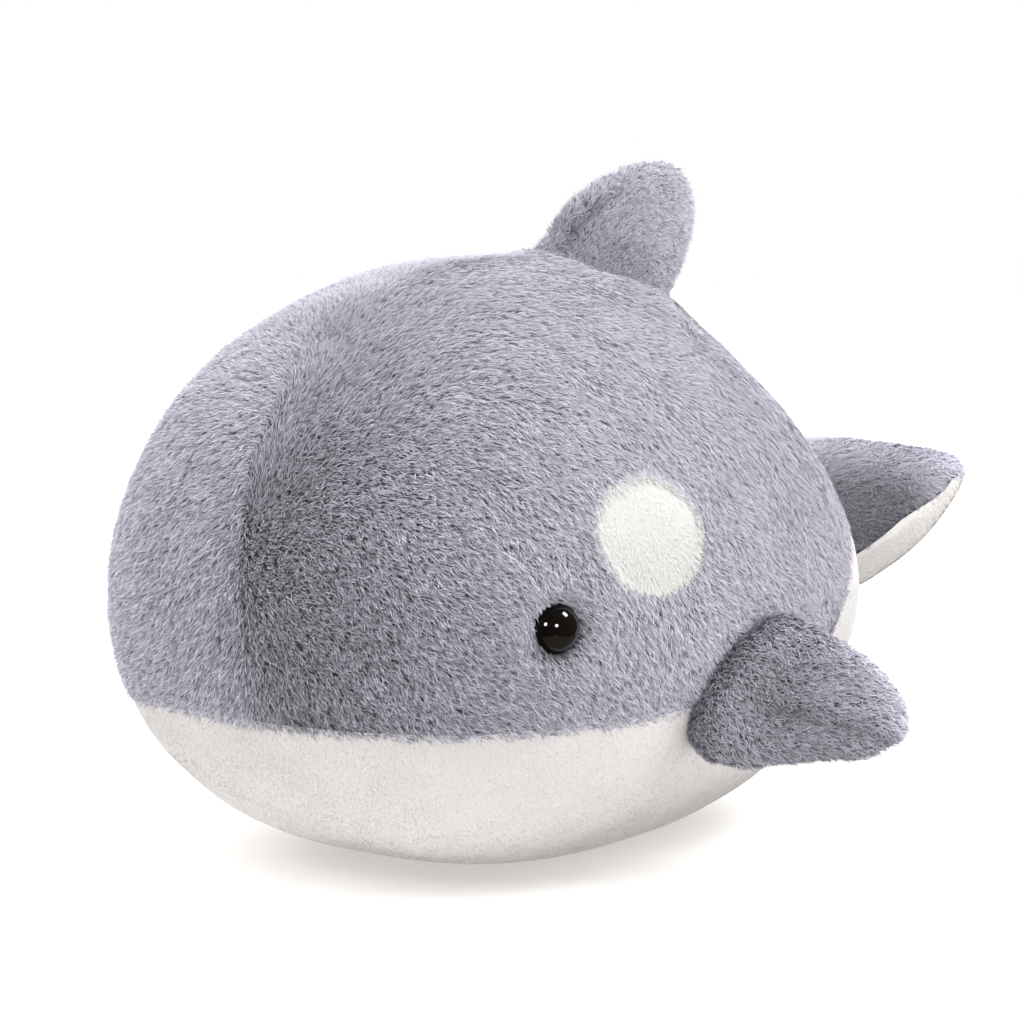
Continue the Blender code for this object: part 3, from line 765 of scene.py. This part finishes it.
# Rows x, y, z of a nap: a constant, then shares of the distance from the middle, back and up
SIDE_NAP = np.array([(0.254, 0.553, 0.183, -0.121), (0.068, -0.022, 0.200, -0.045),
                     (0.197, -0.306, 0.210, 0.595)])
CHEEK_NAP = np.array([(0.322, 0.175, 0.329, -0.015), (0.492, -0.122, 0.621, -0.058),
                      (-0.229, -0.021, -0.202, 0.124)])
TAILWARD = np.array([0.10, 1.0, -0.35])
NAP_SCALE = 0.150
NAP_LEVEL = 0.75
PARTING = 0.009
PARTING_WANDER = 0.0035


def body_nap(p, normal):
    """The way the pile is combed: out from the parting on the face, over the crown and back to the tail."""
    q = p / NAP_SCALE
    wide, back = np.abs(p[:, 0]), q[:, 1]
    mirror = np.where(p[:, :1] >= 0, 1, -1) * np.array([1, 0, 0]) + np.array([0, 1, 1])
    terms = np.stack([np.ones(len(p)), np.abs(q[:, 0]), back, q[:, 2] - NAP_LEVEL], -1)
    side_nap, cheek_nap = flattened(terms @ SIDE_NAP.T * mirror, normal), terms @ CHEEK_NAP.T * mirror
    tailward = in_surface(TAILWARD * mirror, normal)
    behind = ramp_up(back, 0.30, 0.80)
    pull = (0.05 + 0.27 * ramp_up(back, 0.28, 0.25)) * ramp_up(q[:, 2], 1.00, 0.3)
    pull *= np.maximum(ramp_up(wide, 0.015, 0.03), ramp_up(back, 0.25, 0.20))
    flow = side_nap * (1 - behind)[:, None] + tailward * (0.3 * behind + pull)[:, None]
    right = 0.5 - 0.5 * np.tanh((p[:, 0] + PARTING_WANDER * SWIRL[0](p)) / (0.7 * PARTING))
    share = (right * (1 - ramp_up(back, -0.72, 0.24)))[:, None]
    flow = in_surface(in_surface(flow, normal) * (1 - share) + in_surface(cheek_nap, normal) * share, normal)
    flow[:, 0] *= np.tanh(wide / (PARTING + 0.045 * ramp_up(back, 0.15, 0.35)))
    return flow


def belly_nap(p, normal):
    """Down the face and back along the underside."""
    return np.broadcast_to(unit(np.array([0.0, 1.0, -0.9])), p.shape)


def brow(p):
    """1 down the middle of the face, where the pile is given painted shade."""
    across = p[:, 0] - 0.020
    level = ramp_up(p[:, 2], 0.030, 0.040) * (1 - 0.75 * ramp_up(p[:, 2], 0.135, 0.055))
    return bell(across / np.where(across > 0, 0.038, 0.025)) * level * ramp_down(p[:, 1], -0.04, 0.04)


def ruffle(p):
    """How tousled the pile is: most on the lower cheeks, least on the upper back."""
    return np.clip(1.25 - 7.5 * (p[:, 2] - 0.140) - 7.0 * (p[:, 1] + 0.060), 0.16, 2.2)


# ---- the whale

SIDES = (("left", 1), ("right", -1))
FLIPPER_OUT = heading(math.radians(13.6), math.radians(-25.5))
# Half length along the root, span, half length of the round root and half thickness
FLIPPER_SIZE = (0.034, 0.0575, 0.034, 0.0145)
flipper_left = Limb("flipper_left", "flipper_left_flap", FLIPPER_OUT, FLIPPER_OUTLINE, *FLIPPER_SIZE, side=-1)
flipper_right = Limb("flipper_right", "flipper_right_flap", FLIPPER_OUT * (-1, 1, 1), FLIPPER_OUTLINE,
                     *FLIPPER_SIZE)
fin = Limb("dorsal_fin", "dorsal_fin_tilt", np.array([0, 0.457, 0.889]), FIN_OUTLINE,
           0.044, 0.078, 0.044, 0.0135)
tail = Limb("tail", "tail_bend", np.array([0, math.cos(math.radians(42.0)), math.sin(math.radians(42.0))]),
            TAIL_OUTLINE, 0.093, 0.066, 0.030, 0.0220)
LIMBS = (flipper_left, flipper_right, fin, tail)

whole = body_skin(SKIN_DEPTH)
middle = whole.points[whole.faces].mean(1)
above = seam_line(middle) > 0
patch = {side: (patch_ratio(middle, side) < 0.90) & (middle[:, 0] * side > 0) for side in (1, -1)}
grey = above & ~patch[1] & ~patch[-1]
sewn = whole.drawn_to(above, seam_line)


def clear_of_limbs(p):
    """Where the body's pile grows: off the patches and the limbs, and over the eyes' rims only from above."""
    kept = np.minimum(patch_ratio(p, 1), patch_ratio(p, -1)) > 0.98
    for limb in LIMBS:
        kept &= limb.depth(p) > -PILE_DEPTH
    for point, _, _, normal in EYES.values():
        overhang = ((point - p) * body_nap(p, normal)).sum(-1) > 0
        kept &= distance(p, point) > EYE_RADIUS + np.where(overhang, -0.0006, 0.0010)
    return kept


def body_painted_shade(p):
    """Painted shade on the pile: darker where it parts over a seam, in the dimple, down the brow and round the
    eyes.
    """
    painted_light_and_shade = (1 - 0.10 * bell(np.abs(seam_line(p)) / 0.003)) * (1 - 0.90 * bell(distance(p, DIMPLE_AT) / 0.006))
    painted_light_and_shade = painted_light_and_shade * (1 - 0.70 * brow(p))
    for point, *_ in EYES.values():
        painted_light_and_shade = painted_light_and_shade * (1 - 0.7 * bell((distance(p, point) - EYE_RADIUS) / 0.003))
    return painted_light_and_shade


def belly_painted_shade(p):
    """Painted shade: the white a little darker toward the rear."""
    return 1 - 0.9 * ramp_up(p[:, 1], 0.03, 0.05)


def cropped(length, density=3.2e6, lean=(1.38, 1.47), spring=0.25, jitter=0.60):
    """Short white pile that lies almost flat, every strand alone."""
    return Pile(length=length, width=0.00050, density=density, per_tuft=1, tuft=0.0, gather=0.0, lean=lean,
                spring=spring, jitter=jitter, curl=(0.2, 0.3), roll=0.02, tone=(0.02, 0.02))


body_pile = Pile()
belly_pile = cropped(0.0019)
patch_pile = cropped(0.0023, 4.0e6, (1.39, 1.48), 0.20, 0.50)
patch_fringe = Pile(length=0.0043, width=0.00034, density=7.0e6, per_tuft=3, tuft=0.0007, gather=0.45,
                    lean=(1.30, 1.43), spring=0.35, jitter=0.25, roll=0.03, tone=(0.02, 0.02))
WHITE_LIFT = 0.0018
PATCH_LIFT = 0.0010
PATCH_CROWN = 0.0012
PATCH_TRIM = 0.94
FRINGE_AT = 0.93
FRINGE_HALF = 0.045


def fringe_nap(side):
    """The patch's border hairs fan out from its middle and follow the nap."""
    centre = surface_frame(*PATCH_AT, side)[0]
    return lambda p, normal: body_nap(p, normal) + 0.9 * in_surface(p - centre, normal)


def sew_on(cloth, nodes):
    """Attach a sheet to the body as one of its covers, and hide these solids."""
    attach(cloth, "body")
    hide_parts(*nodes)


def root_in(pile):
    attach(pile, "body")


for name, side in SIDES:
    back = sewn.part(grey & (middle[:, 0] * side > 0))
    sew_on(cover("back_cover_" + name, back, grey_cloth), ["back_panel_" + name])
    root_in(grow("back_pile_" + name, back, body_pile, body_nap, grey_pile, clear_of_limbs, body_painted_shade, None,
                 ruffle))

    spot = patch_disc(side, SKIN_DEPTH)
    dome = np.clip(1 - patch_ratio(spot.points, side)[:, None] ** 2, 0, 1)
    spot = spot.lifted(PATCH_LIFT + PATCH_CROWN * dome)
    sew_on(cover("eye_patch_cover_" + name, spot, snow_cloth), ["eye_patch_" + name])
    root_in(grow("eye_patch_pile_" + name, spot, patch_pile, body_nap, snow_pile,
                 lambda p, side=side: patch_ratio(p, side) < PATCH_TRIM))
    root_in(grow("eye_patch_fringe_" + name, spot, patch_fringe, fringe_nap(side), snow_pile,
                 lambda p, side=side: np.abs(patch_ratio(p, side) - FRINGE_AT) < FRINGE_HALF))

below = tuck_line(middle) < 0
under = whole.drawn_to(below, tuck_line).part(below).lifted(WHITE_LIFT)
sew_on(cover("belly_cover", under, white_cloth), ["belly_panel", "body_stuffing"])
root_in(grow("belly_pile", under, belly_pile, belly_nap, white_pile,
             lambda p: clear_of_limbs(p) & (seam_line(p) < 0.0004), belly_painted_shade))

# ---- the limbs' covers

LIMB_SKIN_DEPTH = PILE_DEPTH * 1.05
FLIPPER_SKIN_DEPTH = 0.0038
ROOT_SUNK = 0.0005
# A panel's border: how far up from the line no strand grows, and half the width of that strip
BARE_AT = 0.0008
BARE_HALF = 0.0010


def limb_cover(limb, parts, nap, shape, painted_light_and_shade, reach=None, inset=LIMB_SKIN_DEPTH, detail=1.0, line=None):
    """A limb's covers and pile for each of its parts, the pile kept out of the body at the root."""
    skin = limb.skin(inset, shape, detail)
    middle = limb.local(skin.points[skin.faces].mean(1))
    start = limb.world(np.array([0, -limb.half_thickness, 0]))
    end = limb.world(np.array([0, limb.half_thickness, 0]))
    for part, mask, nodes, plush, pile, lift in parts(middle):
        cloth_material, pile_material, slot = plush
        sheet = skin.drawn_to(mask, lambda p: line(limb.local(p))) if line else skin
        half = sheet.part(mask).lifted(lift)
        cloth = cover(limb.name + "_" + part + "_cover", half, cloth_material)

        def keep(p):
            kept = body_depth(p, PILE_DEPTH) > -ROOT_SUNK
            return kept & (np.abs(line(limb.local(p)) - BARE_AT) > BARE_HALF) if line else kept

        strands = grow(limb.name + "_" + part + "_pile", half, pile, nap, pile_material, keep, painted_light_and_shade, reach)
        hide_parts(*nodes)
        for piece in (cloth, strands):
            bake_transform(piece)


def limb_nap(limb, way):
    """A nap given in the limb's own frame: its share along the root and its share outward."""
    def nap(p, normal):
        q = limb.local(p)
        along, out = way(q[:, 0], q[:, 1] / limb.span)
        return unit(np.stack([along, out, np.zeros(len(q))], -1)) @ limb.axes
    return nap


def flipper_way(x, out):
    return -0.40 * eased(1 - out / 0.6) + 0.20, np.ones(len(x))


def fin_way(x, out):
    return 0.15 + 0.95 * eased((x / 0.044 + 0.5) / 1.2) + 0.3 * out, 1.0 - 0.8 * eased(x / 0.044 + 0.1)


def tail_way(x, out):
    return np.sign(x) * eased(np.abs(x) / 0.020), 1.05 - 0.95 * eased(np.abs(x) / 0.045)


def fold_at(q):
    """1 along the fold that runs the length of a flipper."""
    x = q[:, 0] + 0.0076 - 0.36 * (q[:, 1] - 0.008)
    return bell(x / 0.0026) * ramp_up(q[:, 1], 0.002, 0.010)


def flipper_form(q, normal, share):
    """Flared where it is sewn on, and folded along its length."""
    upper = ramp_up(q[:, 0], -0.006, 0.026)
    deep = np.where(q[:, 1] < 0, 1.8 - 0.35 * upper, 1)
    out = q[:, 1] * deep
    root = ramp_down(out, 0.006, 0.014)
    top = ramp_down(out, 0.014, 0.024) * (q[:, 0] > 0)
    tip = ramp_up(q[:, 1], 0.035, 0.020)
    q = q * np.stack([1 + 0.13 * top, deep * (1 - 0.020 * tip), 1 + (0.50 - 0.38 * upper) * root], -1)
    under = bell((q[:, 1] - 0.046) / 0.016) * ramp_down(q[:, 0], 0.002, 0.010)
    q[:, 0] += 0.0022 * under
    return q - normal * (0.0015 * fold_at(q))[:, None]


def fin_edge_at(q, share):
    """1 along the sewn edge that shows behind the fin's leading rim."""
    return bell((share - 0.86) / 0.05) * ramp_down(q[:, 0], -0.006, 0.012) * ramp_down(q[:, 1], 0.060, 0.02)


def fin_form(q, normal, share):
    """Sunk along its sewn edge, drawn in behind and a little longer in front at the root."""
    q = q - normal * (0.0034 * fin_edge_at(q, share))[:, None]
    q[:, 0] -= 0.0026 * eased(q[:, 0] / 0.03) * share
    q[:, 0] *= 1 + 0.13 * ramp_down(q[:, 1], 0.014, 0.016) * (q[:, 0] < 0)
    return q


def tail_form(q, normal, share):
    """The flukes' leading edges sag a little toward the body."""
    sag = bell((np.abs(q[:, 0]) - 0.057) / 0.017) * bell(np.maximum(q[:, 1], 0) / 0.016)
    q = q.copy()
    q[:, 1] -= 0.0050 * sag * eased(share / 0.8)
    q[:, 0] *= 1 - 0.030 * bell((q[:, 1] - 0.008) / 0.012) * share
    corner = bell((np.arctan2(q[:, 1], np.abs(q[:, 0])) - 0.66) / 0.10) * share
    return q * (1 + 0.015 * corner)[:, None]


GREY_PLUSH = (grey_cloth, grey_pile, "grey_plush")
FLUKE_GREY = (grey_cloth, fluke_grey_pile, "grey_plush")
FLUKE_WHITE = (white_cloth, fluke_white_pile, "white_plush")
FLUKE_WHITE_LIFT = 0.0022
flipper_pile = Pile(length=0.0053, width=0.00036, density=3.5e6, lean=(0.78, 1.34), spring=1.0, jitter=0.24,
                    curl=(0.26, 0.50), per_tuft=5, tuft=0.0012, gather=0.50, tone=(0.06, 0.17))
fin_pile = Pile(length=0.0056, width=0.00036, density=3.4e6, lean=(0.72, 1.22), spring=0.8, jitter=0.20,
                curl=(0.25, 0.50), per_tuft=7, tuft=0.0015, gather=0.60, tone=(0.045, 0.07))
fluke_pile = Pile(length=0.0054, width=0.00052, density=4.2e6, per_tuft=8, tuft=0.0020, gather=0.50,
                  lean=(0.92, 1.34), spring=0.5, jitter=0.35, curl=(0.30, 0.50), roll=0.08,
                  tone=(0.05, 0.015))
fluke_short_pile = cropped(0.0020)


def flipper_parts(limb, side):
    def parts(q):
        front = q[:, 2] * side < 0
        name = limb.name
        return (("front", front, (name + "_front_panel", name + "_stuffing"), GREY_PLUSH, flipper_pile, 0.0),
                ("back", ~front, (name + "_back_panel",), GREY_PLUSH, flipper_pile, 0.0))
    return parts


def fin_parts(q):
    left = q[:, 2] > 0
    return (("left", left, ("dorsal_fin_panel_left", "dorsal_fin_stuffing"), GREY_PLUSH, fin_pile, 0.0),
            ("right", ~left, ("dorsal_fin_panel_right",), GREY_PLUSH, fin_pile, 0.0))


def tail_line(q):
    """The white comes up over the leading edges and stays under the trailing ones."""
    turn = np.arctan2(q[:, 1], np.abs(q[:, 0]))
    return q[:, 2] - 0.0065 + 0.0040 * ramp_up(turn, 0.30, 0.25) + 0.0065 * ramp_up(turn, 0.56, 0.10)


def tail_parts(q):
    top = tail_line(q) > 0
    return (("top", top, ("tail_top_panel", "tail_stuffing"), FLUKE_GREY, fluke_pile, 0.0),
            ("bottom", ~top, ("tail_bottom_panel",), FLUKE_WHITE, fluke_short_pile, FLUKE_WHITE_LIFT))


def root_reach(limb):
    """Short pile where a limb is sewn on, full length further out."""
    return lambda p: 0.70 + 0.30 * ramp_up(limb.local(p)[:, 1], 0.001, 0.014)


def fin_painted_shade(p):
    """Painted shade: a little darker all over, more low down by the body and along the sewn edge."""
    q = fin.local(p)
    turn = np.arctan2(q[:, 1], q[:, 0])
    edge = bell((fin.share(q) - 0.78) / 0.07) * bell((turn - 2.55) / 0.32)
    return (0.92 - 0.25 * np.exp(-(q[:, 1] - 0.012) ** 2 / 0.016 ** 2)) * (1 - 0.75 * edge)


def flipper_painted_light_and_shade(limb):
    """Painted shade: the whole flipper a little darker, most along the fold, where it leaves the body and in
    the hollow by its root; painted light along its upper edge.
    """
    def painted_light_and_shade(p):
        q = limb.local(p)
        x, out = q[:, 0], q[:, 1]
        root = bell((out - 0.008) / 0.014) * ramp_up(x, -0.010, 0.020)
        hollow = np.exp(-((x + 0.001) / 0.016) ** 2 - ((out - 0.006) / 0.018) ** 2)
        edge = ramp_up(limb.share(q), 0.66, 0.26) * ramp_up(x, 0.004, 0.014) * ramp_up(out, 0.004, 0.012)
        return 0.74 - 0.55 * fold_at(q) - 0.14 * root - 0.50 * hollow + 0.75 * edge
    return painted_light_and_shade


def fluke_painted_light_and_shade(p):
    """Painted shade low by the body, painted light along the upper edge."""
    q = tail.local(p)
    return 0.03 + 1.12 * ramp_up(q[:, 1], 0.027, 0.036) + 0.45 * ramp_up(tail.share(q), 0.80, 0.15)


for limb, side in ((flipper_left, 1), (flipper_right, -1)):
    limb_cover(limb, flipper_parts(limb, side), limb_nap(limb, flipper_way), flipper_form,
               flipper_painted_light_and_shade(limb), root_reach(limb), FLIPPER_SKIN_DEPTH)
limb_cover(fin, fin_parts, limb_nap(fin, fin_way), fin_form, fin_painted_shade)
limb_cover(tail, tail_parts, limb_nap(tail, tail_way), tail_form, fluke_painted_light_and_shade, detail=1.5, line=tail_line)

# ---- eyes

EYE_STEPS = 72
DOME_ANGLE = math.radians(78)
STEM_RADIUS = 0.0024
GLOSSY_SHARE = 0.84


def turned_form(name, profile, frame_axes, material):
    """A round piece from its profile, about the frame's normal."""
    point, along, across, normal = frame_axes
    angle = np.linspace(0, 2 * math.pi, EYE_STEPS, endpoint=False)
    r, h = np.array(profile).T
    ring = np.cos(angle)[:, None] * along + np.sin(angle)[:, None] * across
    p = point + r[:, None, None] * ring[None] + h[:, None, None] * normal
    return new_mesh(name, p.reshape(-1, 3), [grid_faces(len(profile), EYE_STEPS)], material)


seat = -PILE_DEPTH + 0.0003
ball = EYE_RADIUS / math.sin(DOME_ANGLE)
ball_centre = seat - ball * math.cos(DOME_ANGLE)
eye_profile = [(ball * math.sin(a), ball_centre + ball * math.cos(a))
               for a in np.linspace(0.02, DOME_ANGLE, 28)]
eye_profile += [(EYE_RADIUS + 0.0001, seat - 0.0006), (EYE_RADIUS - 0.0004, seat - 0.0016),
                (STEM_RADIUS, seat - 0.0016), (STEM_RADIUS, seat - 0.006)]
for name, side in SIDES:
    point, tailward, across, normal = EYES[side]
    eye = turned_form("eye_dome_" + name, eye_profile, (point, tailward, across * side, normal), eye_gloss)
    eye.data.materials.append(eye_rim)
    inner = distance(np.array([f.center for f in eye.data.polygons]), point) < EYE_RADIUS * GLOSSY_SHARE
    eye.data.polygons.foreach_set("material_index", np.where(inner, 0, 1).astype(np.int32))
    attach(eye, "body")
    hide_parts("eye_" + name)
    for washer_slot in frame["nodes"]["eye_washer_" + name].material_slots:
        washer_slot.material = washer_plastic

# ---- floor, light and camera

BLACK = (0.0, 0.0, 0.0, 1.0)
WARM_WHITE = (1.0, 0.99, 0.98, 1.0)
FLOOR_REACH = 6.0
LIGHT_LEVEL = -0.004  # where lights from below lie, just under the floor


def floor_finish():
    f = Finish("floor", Roughness=0.8, Specular_IOR_Level=0.0, Emission_Strength=0.26,
               Emission_Color=WARM_WHITE)
    cloud = f.noise(6.0, 2.0, 0.5)
    return f.set(Base_Color=f.mix(cloud, (0.84, 0.825, 0.81, 1.0), (0.87, 0.855, 0.84, 1.0)))


def glow(name, strength, colour):
    """A finish that only gives light."""
    return Finish(name, Base_Color=BLACK, Emission_Strength=strength, Emission_Color=colour).material


def flat_sheet(name, x, y, level, material):
    corners = [(x[0], y[0], level), (x[1], y[0], level), (x[1], y[1], level), (x[0], y[1], level)]
    sheet = new_mesh(name, np.array(corners, float), [np.array([[0, 1, 2, 3]])], material, smooth=False)
    return sheet


def bounce_ring(name, inner, outer, strength):
    """Even light from below, all round the whale but not straight under it."""
    steps = 48
    turn = np.linspace(0, 2 * math.pi, steps, endpoint=False)
    edge = np.stack([np.cos(turn), np.sin(turn), np.full(steps, LIGHT_LEVEL)], -1)
    points = np.concatenate([edge * (inner, inner, 1), edge * (outer, outer, 1)]) + (0, 0.03, 0)
    ring = new_mesh(name, points, [grid_faces(2, steps)], glow(name, strength, WARM_WHITE), smooth=False)
    ring.visible_camera = ring.visible_glossy = ring.visible_shadow = False


floor = flat_sheet("floor", (-FLOOR_REACH, FLOOR_REACH), (-FLOOR_REACH, FLOOR_REACH), 0, floor_finish())
floor.visible_diffuse = floor.visible_glossy = False
bounce_ring("bounce_ring", 0.128, 4.0, 1.31)
# A dim card that shows only as a reflection in the eyes
card = flat_sheet("ground_card", (-0.09, 0.29), (-0.27, 0.11), LIGHT_LEVEL,
                  glow("ground_card", 0.24, (1.0, 0.9, 0.8, 1.0)))
card.visible_camera = card.visible_diffuse = card.visible_transmission = card.visible_shadow = False

VIEW_AZIMUTH = math.radians(37.0)
VIEW_ELEVATION = math.radians(6.1)
VIEW_DISTANCE = 1.150
VIEW_CENTRE = (0.00905, 0.1289)  # to the right of the whale's middle, and up
right = Vector((math.cos(VIEW_AZIMUTH), math.sin(VIEW_AZIMUTH), 0))
back = Vector((math.sin(VIEW_AZIMUTH) * math.cos(VIEW_ELEVATION),
               -math.cos(VIEW_AZIMUTH) * math.cos(VIEW_ELEVATION), math.sin(VIEW_ELEVATION)))
up = back.cross(right)
camera = bpy.data.objects.new("camera", bpy.data.cameras.new("camera"))
camera.data.lens = 103.1
camera.data.sensor_width = 36.0
camera.data.clip_start = 0.05
camera.data.clip_end = 50.0
place = right * VIEW_CENTRE[0] + Vector((0, 0, VIEW_CENTRE[1])) + back * VIEW_DISTANCE
camera.matrix_world = Matrix.Translation(place) @ Matrix((right, up, back)).transposed().to_4x4()
link(camera)
bpy.context.scene.camera = camera

LAMP_AIM = Vector((0, 0, 0.11))
toward_camera = Vector((back.x, back.y, 0)).normalized()


def seen_from(start, place):
    """A place given as right, up and toward the camera from the start."""
    return start + right * place[0] + Vector((0, 0, place[1])) + toward_camera * place[2]


def glint_lamp(name, place, size, power):
    """A lamp that shows only in the eyes."""
    data = bpy.data.lights.new(name, "AREA")
    data.size = size
    data.energy = power
    obj = bpy.data.objects.new(name, data)
    obj.location = seen_from(LAMP_AIM, place)
    obj.rotation_euler = (LAMP_AIM - obj.location).to_track_quat("-Z", "Y").to_euler()
    obj.visible_diffuse = False
    link(obj)


def sky_panel(name, place, spread, strength):
    """Even light from a wide panel far off in this direction, its spread in degrees."""
    data = bpy.data.lights.new(name, "SUN")
    data.angle = math.radians(spread)
    data.energy = strength
    obj = bpy.data.objects.new(name, data)
    obj.rotation_euler = seen_from(Vector(), place).to_track_quat("Z", "Y").to_euler()
    obj.visible_glossy = False
    link(obj)


sky_panel("top_panel", (0.15, 1.5, -0.04), 80, 3.1)
sky_panel("right_back_panel", (1.15, 0.9, -0.34), 60, 2.60)
sky_panel("left_back_panel", (-1.25, 0.9, -0.36), 50, 1.48)
glint_lamp("front_left_lamp", (-0.66, 0.45, 1.04), 0.24, 6.0)
glint_lamp("front_right_lamp", (0.33, 0.40, 1.32), 0.25, 6.5)
glint_lamp("back_right_lamp", (0.92, 1.04, 0.09), 0.38, 12.0)

# The sky is white to the camera and dimmer as light
SKY_STRENGTH = 0.57
world = bpy.data.worlds.new("studio")
bpy.context.scene.world = world
world.use_nodes = True
world.cycles_visibility.glossy = False
sky = world.node_tree.nodes["Background"]
seen = world.node_tree.nodes.new("ShaderNodeLightPath")
strength = world.node_tree.nodes.new("ShaderNodeMapRange")
strength.inputs["To Min"].default_value = SKY_STRENGTH
strength.inputs["To Max"].default_value = 1.0
world.node_tree.links.new(seen.outputs["Is Camera Ray"], strength.inputs["Value"])
world.node_tree.links.new(strength.outputs["Result"], sky.inputs["Strength"])
sky.inputs["Color"].default_value = (1.0, 1.0, 1.0, 1.0)
view = bpy.context.scene.view_settings
view.view_transform = "Standard"
view.look = "None"
